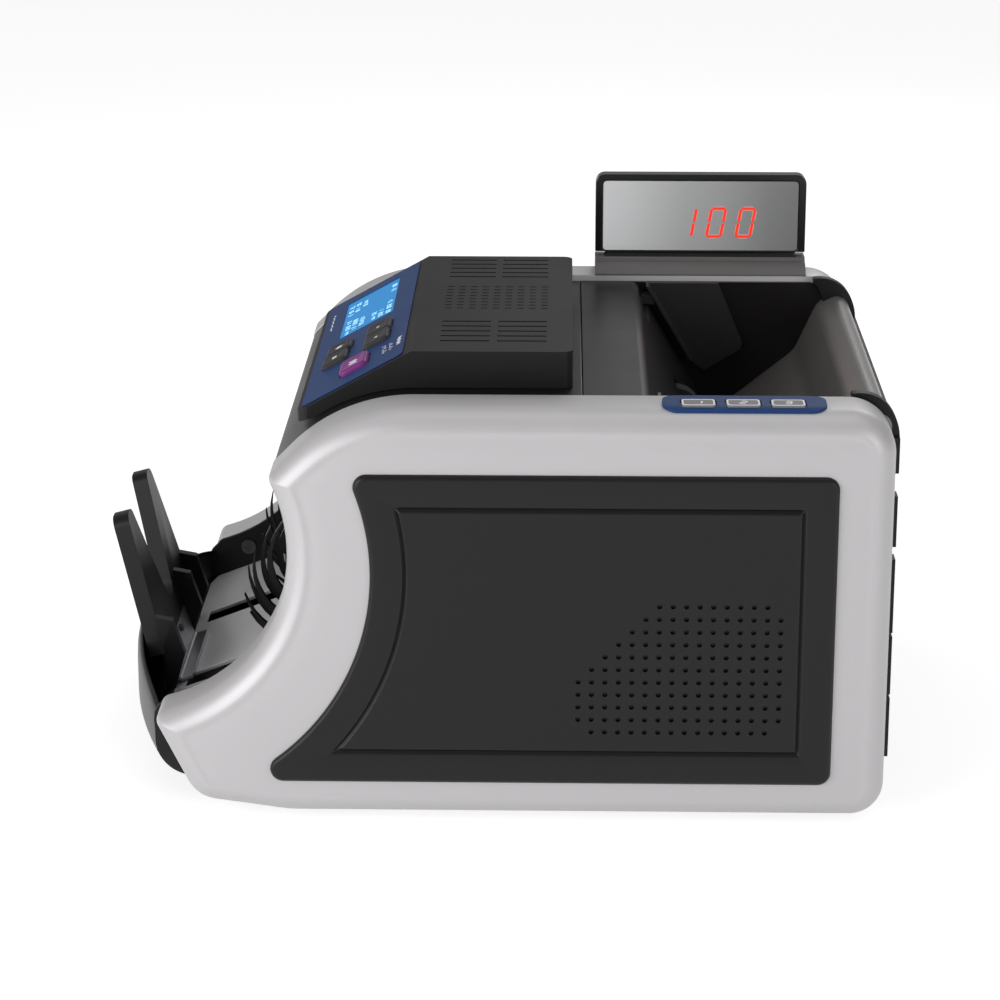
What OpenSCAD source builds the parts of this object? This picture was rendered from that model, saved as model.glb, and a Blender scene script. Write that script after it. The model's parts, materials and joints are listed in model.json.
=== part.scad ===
// Friction banknote counter: hopper at the rear, stacker at the front, control head on top.
// X runs across the machine (the operator's right is +X), Y runs from front to rear, Z is up.
// The origin is on the table, below the middle of the overall footprint.

/* [Body] */
// Overall width across the two side panels
body_w = 250; // [246:1:262]
// Height of the side covers, underside to rail top
body_h = 160; // [158:1:168]
// Rear face of the side covers, measured behind the origin
rear_reach = 150; // [149:1:158]
// Front lip of the side covers, measured ahead of the origin
front_reach = 126; // [125:0.5:128]
// Width of each side cover, rail edge to outer face
cover_w = 26; // [24:1:30]
// Wall of the side covers
cover_wall = 3; // [2:0.5:4]
// Radius of the rounded outer edges
edge_r = 10; // [7:1:12]
// Radius of the rear top corner
rear_top_r = 17; // [14:1:20]
// Radius of the rear bottom corner
rear_bottom_r = 13; // [12:1:18]
// Radius of the long curve of the brow
brow_r = 65; // [62:1:68]
// Start of the brow curve, measured ahead of the origin
brow_start = 28; // [27:0.5:30]
// Radius of the round stacker cut-out
cut_r = 66.5; // [65:0.5:68]
// Height of the cut-out's centre above the underside
cut_h = 103.5; // [102:0.5:105]
// How far the cut-out's centre lies ahead of the front lip
cut_ahead = 16; // [15:0.5:17]

/* [Feet and base] */
// Height of the rubber feet
foot_h = 4; // [3:0.5:6]
// Radius of the rubber feet
foot_r = 9; // [6:0.5:11]
// Thickness of the base plate
base_t = 2.5; // [2:0.5:4]

/* [Side panels] */
// How far the dark panels stand out of the covers
panel_t = 2; // [1.5:0.5:3]
// Band of silver between the cut-out and the panel
panel_band = 26.5; // [25:0.5:28]
// Gap from the rail top down to the panel
panel_top_gap = 23.5; // [21:0.5:26]
// Gap from the underside up to the panel
panel_bottom_gap = 15; // [13:0.5:18]
// Gap from the rear face to the panel
panel_rear_gap = 21; // [19:0.5:24]
// Inset of the embossed line inside the panel's edge
emboss_inset = 12.3; // [10:0.5:15]
// Pitch of the side vents
vent_pitch = 5; // [4.5:0.1:5.2]
// Radius of each side vent
vent_r = 1; // [0.8:0.1:1.3]

/* [Top deck and control head] */
// How far the dark deck lies below the rail tops
deck_drop = 2.5; // [1.5:0.5:3]
// Thickness of the dark mouldings
deck_t = 2.5; // [2:0.5:3]
// Joint between top cover and hopper, behind the origin
seam_y = 35; // [34:0.5:37]
// Width of the control head
head_w = 160; // [154:1:170]
// Height of the control head above the deck
head_h = 14.5; // [13:0.5:18]
// Rear face of the control head, behind the origin
head_rear = 31; // [29:0.5:32]
// Length of the control head's flat top
head_top_l = 61; // [58:0.5:63]
// Angle of the slanted panel below horizontal
slant_a = 29; // [27:1:30]
// Length of the slanted panel down its slope
slant_l = 50; // [49:0.5:51]
// Corner radius of the control head in plan
head_r = 4; // [3:0.5:6]
// Wall of the control head
head_wall = 2; // [1.5:0.5:2.5]
// Side margin of the blue overlay
overlay_side = 3; // [2:0.5:6]
// Width of the message window
lcd_w = 59; // [54:1:62]
// Height of the message window down the slope
lcd_h = 25; // [22:0.5:27]
// How far a key cap stands proud
key_rise = 2.4; // [2:0.2:3.2]
// Travel of the keys
key_travel = 0.8; // [0.5:0.1:1.2]
// Clearance round keys and buttons
key_gap = 0.4; // [0.3:0.1:0.5]

/* [Side keypad] */
// Length of the blue strip on the right-hand rail
strip_l = 60.4; // [58:0.5:64]
// Width of the blue strip
strip_w = 16.6; // [15.8:0.2:17.2]
// Thickness of the blue strip
strip_t = 1.2; // [1:0.1:1.4]
// Centre of the blue strip behind the origin
strip_y = 94; // [90:0.5:98]
// Pitch of the three side buttons
button_pitch = 16.5; // [15.5:0.25:17.5]
// Length of a side button
button_l = 12.6; // [11:0.2:13]
// Width of a side button
button_w = 8.6; // [7.8:0.2:9.2]

/* [Display] */
// Length of the display along the rail
disp_l = 91; // [86:1:96]
// Height of the display above its hinge
disp_h = 37.8; // [36:0.2:42]
// Thickness of the display
disp_t = 7; // [6:0.5:9]
// Front end of the display behind the origin
disp_y = 41; // [38:1:46]
// Hinge line in from the machine's side
disp_in = 15; // [14.5:0.5:16]
// Radius of the hinge barrel
barrel_r = 4; // [3.5:0.25:4.5]
// Height of the lit digits
digit_h = 14.2; // [12:0.2:15]
// Pitch of the lit digits
digit_pitch = 12.7; // [12:0.1:13.5]

/* [Hopper] */
// Front edge of the hopper behind the origin
hopper_y = 59; // [58:0.5:60.5]
// Depth of the hopper throat's front lip below the deck
wall_drop = 44.5; // [43:0.5:46]
// How far the front wall leans to the rear
wall_lean = 26; // [25:0.5:27]
// Thickness of the guide plates
guide_t = 1.5; // [1.2:0.1:2]
// Inward travel of each guide plate
guide_travel = 30; // [20:1:32]
// Teeth of the guide pinion
pinion_teeth = 14; // [12:1:15]

/* [Note path] */
// Radius of the pick rollers
pick_r = 10.5; // [9.5:0.25:10.75]
// How far the pick rollers stand out of the front wall
pick_rise = 4.2; // [3.4:0.1:4.5]
// Radius of the feed rollers
feed_r = 16; // [15:0.25:16.5]
// Radius of the transport rollers
drive_r = 8; // [7:0.25:9]
// Gap between the path plates
path_gap = 3; // [2.6:0.2:3.4]
// Radius of the cross shafts
shaft_r = 3; // [2.5:0.25:3.25]

/* [Stacker] */
// Slope of the stacker floor
floor_a = 21; // [19:0.5:22]
// Thickness of the stacker floor
floor_t = 1.5; // [1.2:0.1:2]
// Centre of each finger slot from the middle
slot_x = 38; // [36:0.5:40]
// Width of each finger slot
slot_w = 14; // [12:0.5:16]
// Radius of the stacking wheels
wheel_r = 37.5; // [35:0.5:38.5]
// Fingers on each stacking wheel
wheel_fingers = 12; // [10:1:13]
// Width of each stacking wheel
wheel_w = 8; // [6:0.5:9]
// Lean of the stop plate away from vertical
stop_lean = 15; // [13:0.5:16]
// Height of the stop plate's prongs along the lean
stop_h = 56; // [52:1:57]
// Half width of the stop plate at its foot
stop_half = 44; // [42:0.5:48]

/* [Drive] */
// Radius of the main motor
motor_r = 21; // [18:0.5:22]
// Length of the main motor
motor_l = 58; // [50:1:62]
// Thickness of the drive belts
belt_t = 1.2; // [1:0.1:1.4]
// Width of the drive belts
belt_w = 5; // [4:0.5:5.5]
// Thickness of the steel frame plates
frame_t = 2; // [1.5:0.25:2.5]

/* [Hidden] */

// Small fixed allowances: facet count, face clearance, running clearance, roller clearance
fn = 48;
seat = 0.3;
run = 0.05;
clear = 0.5;

// Heights and main planes
under_z = foot_h;
top_z = under_z + body_h;
deck_z = top_z - deck_drop;
face_x = body_w/2 - panel_t;
inner_x = face_x - cover_w;
wall_x = inner_x - 2;
frame_x = inner_x + 1;

// Side outline of the covers in the (y, z) plane
cut_c = [-front_reach - cut_ahead, under_z + cut_h];
brow_c = [-brow_start, top_z - brow_r];
brow_n = 135;
tip_r = 3.5;
lip_r = 4;
lip_n = 206;
lip_z = 34;
chin_r = 14;
chin_n = 262;
toe_y = -76;
toe_r = 60;

function unit(a) = [cos(a), sin(a)];
function cross2(a, b) = a[0]*b[1] - a[1]*b[0];
function norm_ang(v) = let (a = atan2(v[1], v[0])) a < 0 ? a + 360 : a;
function arc(c, r, a0, a1, n) = [for (i = [0:n]) c + r*unit(a0 + (a1 - a0)*i/n)];
function rev(v) = [for (i = [len(v) - 1:-1:0]) v[i]];
// Centre at distance s inside two straight edges with outward normals n1, n2 and offsets k1, k2
function corner_c(n1, k1, n2, k2, s) = let (a = unit(n1), b = unit(n2), d = cross2(a, b))
    [(k1 - s)*b[1] - (k2 - s)*a[1], a[0]*(k2 - s) - b[0]*(k1 - s)]/d;
// Centre at distance s inside a straight edge and s outside the circle (c, r)
function nose_c(c, r, n, k, s, side) = let (m = unit(n), t = unit(n - 90), a = k - s - m*c)
    c + a*m + side*sqrt((r + s)*(r + s) - a*a)*t;
function held_r(r, d) = max(r - d, 0.4);

brow_k = unit(brow_n)*brow_c + brow_r;
lip_k = unit(lip_n)*[-front_reach, under_z + lip_z];
toe_k = unit(chin_n)*[toe_y, under_z];

function tip_c(d) = nose_c(cut_c, cut_r, brow_n, brow_k, d + held_r(tip_r, d), 1);
function lip_c(d) = nose_c(cut_c, cut_r, lip_n, lip_k, d + held_r(lip_r, d), -1);
function tip_n(d) = norm_ang(cut_c - tip_c(d));
function lip_m(d) = norm_ang(cut_c - lip_c(d));

// Round of the brow's tip, d inside the covers' outline
function tip_pts(d) = arc(tip_c(d), held_r(tip_r, d), brow_n, tip_n(d), 6);
// Whole outline, d inside the covers' outline
function side_outline(d) = concat(
    arc([rear_reach - rear_bottom_r, under_z + rear_bottom_r], rear_bottom_r - d, 270, 360, 7),
    arc([rear_reach - rear_top_r, top_z - rear_top_r], rear_top_r - d, 0, 90, 8),
    arc(brow_c, brow_r - d, 90, brow_n, 10), tip_pts(d),
    arc(cut_c, -(cut_r + d), tip_n(d) - 2, lip_m(d) + 2, 22),
    arc(lip_c(d), held_r(lip_r, d), lip_m(d), lip_n, 6),
    arc(corner_c(lip_n, lip_k, chin_n, toe_k, chin_r), chin_r - d, lip_n, chin_n, 6),
    arc(corner_c(chin_n, toe_k, 270, -under_z, toe_r), toe_r - d, chin_n, 270, 3));

// Outline of the dark side panel, d inside its edge
panel_corner = 5;
panel_top = top_z - panel_top_gap;
panel_bottom = under_z + panel_bottom_gap;
panel_rear = rear_reach - panel_rear_gap;
panel_R = cut_r + panel_band;
panel_c = cut_c + [5, -5.5];
function panel_outline(d) = let (r = held_r(panel_corner, d), s = d + r,
    tc = nose_c(panel_c, panel_R, 90, panel_top, s, 1),
    bc = nose_c(panel_c, panel_R, 270, -panel_bottom, s, -1))
    concat(arc([panel_rear - s, panel_bottom + s], r, 270, 360, 5),
    arc([panel_rear - s, panel_top - s], r, 0, 90, 5),
    arc(tc, r, 90, norm_ang(panel_c - tc), 5),
    arc(panel_c, -(panel_R + d), norm_ang(panel_c - tc) - 2, norm_ang(panel_c - bc) + 2, 20),
    arc(bc, r, norm_ang(panel_c - bc), 270, 5));

// Rounded rectangle of size v centred on c
function round_rect(c, v, r) = concat(
    arc(c + [v[0]/2 - r, v[1]/2 - r], r, 0, 90, 5), arc(c + [r - v[0]/2, v[1]/2 - r], r, 90, 180, 5),
    arc(c + [r - v[0]/2, r - v[1]/2], r, 180, 270, 5), arc(c + [v[0]/2 - r, r - v[1]/2], r, 270, 360, 5));

// Bent strip: path through v with bend radii r (one per inner point), shifted d to its left
function left_n(v) = [-v[1], v[0]]/norm(v);
function bend(a, b, c, r, d) = let (u = (b - a)/norm(b - a), v = (c - b)/norm(c - b),
    s = cross2(u, v) > 0 ? 1 : -1, h = left_n(u) + left_n(v), m = h/norm(h),
    o = b + s*m*r/(m*left_n(u)), n0 = norm_ang(-s*left_n(u)), q = norm_ang(-s*left_n(v)) - n0,
    w = q > 180 ? q - 360 : (q < -180 ? q + 360 : q))
    arc(o, r - s*d, n0, n0 + w, 8);
function strip_side(v, r, d) = concat([v[0] + d*left_n(v[1] - v[0])],
    [for (i = [1:len(v) - 2]) each bend(v[i - 1], v[i], v[i + 1], r[i - 1], d)],
    [v[len(v) - 1] + d*left_n(v[len(v) - 1] - v[len(v) - 2])]);
function strip(v, r, d0, d1) = concat(strip_side(v, r, d0), rev(strip_side(v, r, d1)));

// Placing: side profiles in (y, z) are swept along X from x0 to x1
module along_x(x0, x1) {
    translate([x0, 0, 0]) rotate([90, 0, 90]) linear_extrude(x1 - x0) children();
}
module along_y(y0, y1) { translate([0, y1, 0]) rotate([90, 0, 0]) linear_extrude(y1 - y0) children(); }
module x_rod(c, r, x0, x1, sides = fn) {
    along_x(x0, x1) translate(c) circle(r, $fn = sides);
}
module box(a, b) { translate(a) cube(b - a); }
module both_sides() { children(); mirror([1, 0, 0]) children(); }

// Rounded shell of a side cover: rings run from the outer face in to the rail edge and back
fillet_steps = 5;
function fillet_rings(x, r, d0) = [for (i = [fillet_steps:-1:0]) let (a = 90*i/fillet_steps)
    [x - r + r*sin(a), d0 + r*(1 - cos(a))]];
cover_rings = concat(fillet_rings(face_x, edge_r, 0), [[inner_x, 0], [inner_x, cover_wall]],
    rev(fillet_rings(face_x - cover_wall, edge_r - cover_wall, cover_wall)));
module side_shell() {
    rows = [for (k = cover_rings) [for (p = side_outline(k[1])) [k[0], p[0], p[1]]]];
    n = len(rows[0]);
    m = len(rows);
    polyhedron([for (row = rows) each row], concat(
        [[for (i = [n - 1:-1:0]) i]], [[for (i = [0:n - 1]) (m - 1)*n + i]],
        [for (j = [0:m - 2], i = [0:n - 1]) [j*n + i, j*n + (i + 1) % n, (j + 1)*n + i]],
        [for (j = [0:m - 2], i = [0:n - 1]) [j*n + (i + 1) % n, (j + 1)*n + (i + 1) % n, (j + 1)*n + i]]));
}

module side_cover_right() { color([0.75, 0.74, 0.75]) side_shell(); }
module side_cover_left() { color([0.75, 0.74, 0.75]) mirror([1, 0, 0]) side_shell(); }

// Dark side panel with its embossed line and field of vents
vent_cols = 16;
vent_rows = 11;
vent_c = [panel_rear - 20.4 - (vent_cols - 1)*vent_pitch, panel_bottom + 21.5];
emboss_w = 1;
emboss_d = 0.6;
function vent_here(c, r) = c + r >= 6 && !(c == vent_cols - 1 && (r == 0 || r == vent_rows - 1))
    && !(c == 0 && r == vent_rows - 1);
module vents_2d() {
    for (c = [0:vent_cols - 1], r = [0:vent_rows - 1]) if (vent_here(c, r))
        translate(vent_c + vent_pitch*[c, vent_rows - 1 - r]) circle(vent_r, $fn = 16);
}
module side_panel() {
    along_x(face_x, face_x + panel_t - emboss_d) difference() {
        polygon(panel_outline(0));
        vents_2d();
    }
    along_x(face_x + panel_t - emboss_d, face_x + panel_t) difference() {
        polygon(panel_outline(0));
        difference() {
            polygon(panel_outline(emboss_inset));
            polygon(panel_outline(emboss_inset + emboss_w));
        }
        vents_2d();
    }
}
module side_panel_right() { color([0.22, 0.21, 0.22]) side_panel(); }
module side_panel_left() { color([0.22, 0.21, 0.22]) mirror([1, 0, 0]) side_panel(); }

// Base plate between the covers, with sills that reach under the shells' inner edges
base_front = front_reach - 28;
base_rear = rear_reach - 14;
base_z = under_z + cover_wall;
bay_rear = -52;
module base_plate() {
    color([0.3, 0.3, 0.31]) {
        box([-wall_x + seat, -base_front, base_z], [wall_x - seat, bay_rear + 2, base_z + base_t]);
        box([-inner_x - 14, bay_rear + 2, base_z], [inner_x + 14, base_rear, base_z + base_t]);
        box([-wall_x + seat, base_rear - 1, base_z],
                [wall_x - seat, rear_reach - rear_skin - seat, base_z + base_t]);
    }
}

// Feet screwed up through the covers' undersides
foot_x = wall_x - foot_r - 1;
foot_ys = [-base_front + foot_r + 6, base_rear - foot_r - 6];
module rubber_feet() {
    color([0.08, 0.08, 0.08]) both_sides() for (y = foot_ys)
        translate([foot_x, y, 0]) cylinder(h = base_z, r = foot_r, $fn = fn);
}

// Black liners of the stacker bay
bay_top = cut_c[1] - 6;
module bay_wall() {
    along_x(wall_x, inner_x) intersection() {
        difference() {
            polygon(side_outline(0.5));
            translate(wheel_c) circle(bear_r + clear, $fn = fn);
            translate(bay_screw) circle(bay_screw_r/2 + run, $fn = 24);
        }
        translate([-front_reach - 5, under_z + 0.5]) square([front_reach + 5 + bay_rear, bay_top - under_z]);
    }
}
module bay_wall_right() { color([0.07, 0.07, 0.08]) bay_wall(); }
module bay_wall_left() { color([0.07, 0.07, 0.08]) mirror([1, 0, 0]) bay_wall(); }

// Screws that hold the liners and the rear cover
bay_screw = [-front_reach + 14, under_z + 36];
bay_screw_r = 3.2;
rear_screw_r = 2.6;
rear_screw_x = inner_x - 18;
rear_screw_z = [under_z + 20, top_z - 46];
module pan_screw(r, h, shank) {
    difference() {
        union() {
            cylinder(h = h, r = r, $fn = 32);
            translate([0, 0, -shank]) cylinder(h = shank, r = r/2, $fn = 24);
        }
        for (a = [0, 90]) rotate(a) translate([-r*0.6, -r*0.14, h - 0.5]) cube([r*1.2, r*0.28, 1]);
    }
}

// Front fairing, convex in plan: side profiles are skinned across the machine
fair_bulge = 17.5;
fair_r = (inner_x*inner_x + fair_bulge*fair_bulge)/(2*fair_bulge);
fair_tip = front_reach + 20.5;
fair_top = under_z + 41;
fair_knee = under_z + 20;
fair_turn = 15;
fair_wall = 2.2;
fair_x = wall_x - seat;
fair_n = 12;
function fair_front(x) = -fair_tip + fair_r - sqrt(fair_r*fair_r - x*x);
// Profile d inside the skin: rounded top edge, upright face, round knee and flat underside
function fair_side(x, d) = let (f = fair_front(x), r = fair_turn) concat(
    [[f + 2.4 + 0.5*d, fair_top], [f + 1.1 + 0.9*d, fair_top - 1.5], [f + 0.3 + d, fair_top - 4],
     [f + d, fair_top - 8]],
    [for (a = [0:15:75]) [f + r - (r - d)*cos(a), fair_knee - (r - d)*sin(a)]],
    [[-base_front - 1, fair_knee - r + 0.4 + d]]);
module front_fairing() {
    rows = [for (i = [-fair_n:fair_n]) let (x = fair_x*i/fair_n)
        [for (p = concat(fair_side(x, 0), rev(fair_side(x, fair_wall)))) [x, p[0], p[1]]]];
    n = len(rows[0]);
    m = len(rows);
    color([0.16, 0.16, 0.17]) polyhedron([for (row = rows) each row], concat(
        [[for (i = [0:n - 1]) i]], [[for (i = [n - 1:-1:0]) (m - 1)*n + i]],
        [for (j = [0:m - 2], i = [0:n - 1]) [j*n + (i + 1) % n, j*n + i, (j + 1)*n + i]],
        [for (j = [0:m - 2], i = [0:n - 1]) [(j + 1)*n + (i + 1) % n, j*n + (i + 1) % n, (j + 1)*n + i]]));
}

// Stacker floor: a sloping polished sheet with two finger slots open to the rear
floor_front = front_reach + 4;
floor_z = under_z + 20.5;
floor_rear = 58;
function floor_pt(y, d) = [y, floor_z + (y + floor_front)*tan(floor_a) + d/cos(floor_a)];
floor_edge = -front_reach - 2.6;
leg_y = -76;
// Plan of the sheet, trimmed clear of the fairing at its ends
function floor_plan() = concat([for (i = [-fair_n:fair_n]) let (x = wall_x*i/fair_n)
    [x, max(fair_front(x) + fair_wall + 1.4, floor_edge)]], [[wall_x, 0], [-wall_x, 0]]);
module stacker_floor() {
    color([0.62, 0.62, 0.64]) {
        difference() {
            intersection() {
                along_x(-wall_x, wall_x) polygon([floor_pt(floor_edge - 1, 0), floor_pt(-floor_rear, 0),
                    floor_pt(-floor_rear, -floor_t), floor_pt(floor_edge - 1, -floor_t)]);
                linear_extrude(top_z) polygon(floor_plan());
            }
            both_sides() box([slot_x - slot_w/2, -floor_front + 6, under_z],
                [slot_x + slot_w/2, -floor_rear + 1, top_z]);
        }
        both_sides() difference() {
            union() {
                box([slot_x + slot_w/2, leg_y, base_z + base_t],
                    [slot_x + slot_w/2 + floor_t, -floor_rear, top_z - 60]);
                box([slot_x - slot_w/2 - floor_t, leg_y, base_z + base_t],
                    [slot_x - slot_w/2, -floor_rear, top_z - 60]);
            }
            along_x(0, wall_x) polygon([floor_pt(-floor_front, -floor_t/2), floor_pt(0, -floor_t/2),
                [0, top_z], [-floor_front, top_z]]);
        }
    }
}

// Stop plate: two tapered prongs on a common foot that slides along the floor's slope
stop_foot = [-front_reach - 6, floor_z + 17];
stop_top_half = 35;
prong_out_r = 5;
prong_in_r = 4;
notch_top = 22;
notch_c = [0, 16];
notch_r = 8;
stop_rim = 6.5;
stop_plate_t = 3;
rim_w = 2.4;
// Right-hand half of the plate's edge, from the foot over the prong's tip to the notch
function stop_edge() = concat([[stop_half, -1]],
    arc([stop_top_half - prong_out_r, stop_h - prong_out_r], prong_out_r, 8, 90, 5),
    arc([notch_top + prong_in_r, stop_h - prong_in_r], prong_in_r, 90, 165, 4),
    arc(notch_c, notch_r, 350, 274, 5));
module stop_outline() {
    polygon(concat(stop_edge(), rev([for (p = stop_edge()) [-p[0], p[1]]])));
}
module stop_lean_frame() {
    translate([0, stop_foot[0], stop_foot[1]]) rotate([90 + stop_lean, 0, 0]) children();
}
// Ribs behind the plate stand over the floor's front edge: [x0, x1]
stop_ribs = [[0.8 - stop_half, 5 - stop_half], [-20, -16], [stop_half - 5, stop_half - 0.8]];
rib_top = 14;
rib_deep = 8;
module stop_plate() {
    color([0.1, 0.1, 0.11]) {
        stop_lean_frame() linear_extrude(stop_plate_t) stop_outline();
        stop_lean_frame() translate([0, 0, stop_plate_t]) linear_extrude(stop_rim - stop_plate_t) difference() {
            stop_outline();
            both_sides() polygon([[14, 2], [stop_half - rim_w, 2], [stop_top_half - rim_w, stop_h - 5],
                [stop_top_half - 5, stop_h - rim_w], [notch_top + rim_w, stop_h - rim_w],
                [11.4, notch_c[1] - 1]]);
        }
        for (x = stop_ribs) along_x(x[0], x[1]) polygon([stop_foot + [-0.6, -2.5],
            floor_pt(stop_foot[0], seat), floor_pt(floor_edge + 0.4, seat), stop_foot + [rib_deep, -1.6],
            stop_foot + [rib_deep - 4.6, rib_top - 1.4], stop_foot + [-0.3 - rib_top*tan(stop_lean), rib_top]]);
        along_x(stop_ribs[0][0] + 0.5, stop_ribs[1][0] + 1) polygon([stop_foot + [-0.6, -1.2],
            floor_pt(stop_foot[0] + 2.4, seat), floor_pt(floor_edge + 0.4, seat), stop_foot + [2, 0]]);
    }
}
// Steel clamp strip between the ribs and its screw
clamp_top = stop_foot + [0.6, -1.5];
clamp_knee = floor_pt(stop_foot[0] + 5, seat + 1.5);
clamp_t = 1.2;
clamp_x = 5;
clamp_at = clamp_top + 0.2*(clamp_knee - clamp_top);
clamp_turn = atan2(clamp_top[1] - clamp_knee[1], clamp_knee[0] - clamp_top[0]);
clamp_screw_r = 1.6;
module clamp_frame() {
    translate([clamp_x, clamp_at[0], clamp_at[1]]) rotate([-clamp_turn, 0, 0]) children();
}
module stop_bracket() {
    color([0.6, 0.6, 0.62]) difference() {
        along_x(stop_ribs[1][1] + seat, stop_ribs[2][0] - seat)
            polygon(strip([clamp_top, clamp_knee, floor_pt(clamp_knee[0] + 5, seat + clamp_t)],
                [1.6], 0, -clamp_t));
        clamp_frame() translate([0, 0, -5]) cylinder(h = 12, r = clamp_screw_r/2 + run, $fn = 24);
    }
}
module stop_screw() {
    color([0.8, 0.8, 0.82]) clamp_frame() pan_screw(clamp_screw_r, 1, clamp_t - 0.1);
}

// Top cover: the deck ahead of the seam, over the brow and down behind the cut-out. Its long
// curve is wider than the covers' own, so it comes up level with them at the tip.
cover_x = inner_x - seat;
brow_end = 186;
deck_brow_r = brow_r + 5;
deck_brow_c = [brow_c[0], deck_z - deck_brow_r];
tip_level = 0.4;
function deck_line(d) = concat([[seam_y - seat, deck_z - d]], arc(deck_brow_c, deck_brow_r - d, 90, brow_n, 10),
    tip_pts(d + tip_level), arc(cut_c, -(cut_r + d + tip_level), tip_n(d + tip_level) - 2, brow_end, 6));
module top_cover() {
    color([0.2, 0.19, 0.2]) along_x(-cover_x, cover_x) polygon(concat(deck_line(0), rev(deck_line(deck_t))));
}

// Control head: a frame whose slanted front carries the keys
head_z = deck_z + head_h;
slant_top = [head_rear - head_top_l, head_z];
slant_d = [-cos(slant_a), -sin(slant_a)];
slant_foot = slant_top + slant_l*slant_d;
head_gap = 0.2;
head_lip = 4.2;
head_arc_r = deck_brow_r + head_gap;
lip_in = 7;
lip_ang = acos((slant_foot[0] + lip_in - deck_brow_c[0])/head_arc_r);
module head_profile() {
    polygon(concat([[head_rear, deck_z + head_gap], [head_rear, head_z], slant_top, slant_foot,
        slant_foot - [0, head_lip]], rev(arc(deck_brow_c, head_arc_r, 90, lip_ang, 10))));
}
function head_in(w) = let (t = unit(90 + slant_a), k = t*slant_top - w,
    top = [(k - t[1]*(head_z - w))/t[0], head_z - w],
    foot = [slant_foot[0] + 8, (k - t[0]*(slant_foot[0] + 8))/t[1]])
    [[head_rear - w, deck_z - 1], [head_rear - w, head_z - w], top, foot, [foot[0] + 8, foot[1] - 8]];
// Frame of the slanted panel: x across, y up the slope, z out of it
module on_slant() {
    translate([0, slant_top[0], slant_top[1]]) rotate([slant_a, 0, 0]) children();
}
// Key and window places: [x, distance down the slope, width, length]
lcd_at = [-36.5, 25.75, lcd_w, lcd_h];
keys_at = [[15.5, 35.5, 12.6, 11], [29.8, 36.5, 13, 11], [16.5, 17.5, 14.6, 11], [32.5, 17.5, 14.6, 11],
    [55.5, 26, 17, 12]];
module slant_rect(p, grow, r) {
    polygon(round_rect([p[0], -p[1]], [p[2] + 2*grow, p[3] + 2*grow], r + grow));
}
slot_l = 19;
slot_wd = 1.6;
slot_rows = 5;
slot_pitch = 7.6;
slot_xs = [-57.4, 48.6];
dash_x = -6.3;
dash_l = 2.6;
dash_w = 1.1;
dash_pitch = [5.2, 4.8];
dash_n = [8, 9];
module head_vents() {
    translate([0, head_rear - head_top_l/2, 0]) {
        for (x = slot_xs, c = [-1, 1], i = [0:slot_rows - 1])
            translate([x + (i - (slot_rows - 1)/2)*slot_pitch, c*(slot_l/2 + 1.4)])
                square([slot_wd, slot_l], center = true);
        for (i = [0:dash_n[0] - 1], j = [0:dash_n[1] - 1])
            translate([dash_x + (i - (dash_n[0] - 1)/2)*dash_pitch[0], (j - (dash_n[1] - 1)/2)*dash_pitch[1]])
                square([dash_w, dash_l], center = true);
    }
}
module control_housing() {
    color([0.3, 0.3, 0.31]) difference() {
        intersection() {
            along_x(-head_w/2, head_w/2) head_profile();
            translate([0, 0, under_z]) linear_extrude(body_h + head_h)
                polygon(round_rect([0, (head_rear + slant_foot[0])/2],
                    [head_w, head_rear - slant_foot[0]], head_r));
        }
        along_x(-head_w/2 + head_wall, head_w/2 - head_wall) polygon(head_in(head_wall));
        translate([0, 0, head_z - head_wall - 1]) linear_extrude(head_wall + 2) head_vents();
        on_slant() translate([0, 0, -2*head_wall]) linear_extrude(3*head_wall) {
            slant_rect(lcd_at, 0, 0.8);
            for (k = keys_at) slant_rect(k, key_gap, 1.5);
        }
    }
}
overlay_t = 0.5;
module control_overlay() {
    color([0.16, 0.27, 0.55]) on_slant() linear_extrude(overlay_t) difference() {
        polygon(round_rect([0, -slant_l/2 - 1], [head_w - 2*overlay_side, slant_l - 6], 2));
        slant_rect(lcd_at, 0, 0.8);
        for (k = keys_at) slant_rect(k, key_gap, 1.5);
    }
}
module lcd_window() {
    color([0.0, 0.55, 0.85]) on_slant() translate([0, 0, -head_wall]) linear_extrude(head_wall + 0.3)
        slant_rect(lcd_at, -0.1, 0.8);
}
board_drop = head_wall + 2.6;
board_s = [10, 37.5];
module key_board() {
    color([0.1, 0.35, 0.18]) on_slant() {
        translate([0, 0, -board_drop]) linear_extrude(1.2)
            polygon(round_rect([0, -(board_s[0] + board_s[1])/2],
                [head_w - 2*head_wall - 6, board_s[1] - board_s[0]], 1));
        for (x = [-lcd_w, lcd_w + 10]) translate([x, -slant_l/2 + 12, -board_drop + 1.2])
            cylinder(h = board_drop - head_wall - 1.2, r = 2.5, $fn = 24);
    }
}
module key_cap(k) {
    on_slant() {
        translate([0, 0, -head_wall]) linear_extrude(head_wall + key_rise - 0.6) slant_rect(k, 0, 1.2);
        translate([0, 0, key_rise - 0.6]) linear_extrude(0.6) slant_rect(k, -0.6, 0.9);
        translate([k[0], -k[1], -board_drop + 1.2 + key_travel + 0.2])
            cylinder(h = board_drop - head_wall - 1.2 - key_travel - 0.2, r = 1.8, $fn = 24);
    }
}
module key_menu() { color([0.3, 0.3, 0.3]) key_cap(keys_at[0]); }
module key_mode() { color([0.3, 0.3, 0.3]) key_cap(keys_at[1]); }
module key_up() { color([0.3, 0.3, 0.3]) key_cap(keys_at[2]); }
module key_down() { color([0.3, 0.3, 0.3]) key_cap(keys_at[3]); }
module key_start() { color([0.5, 0.15, 0.52]) key_cap(keys_at[4]); }

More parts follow.
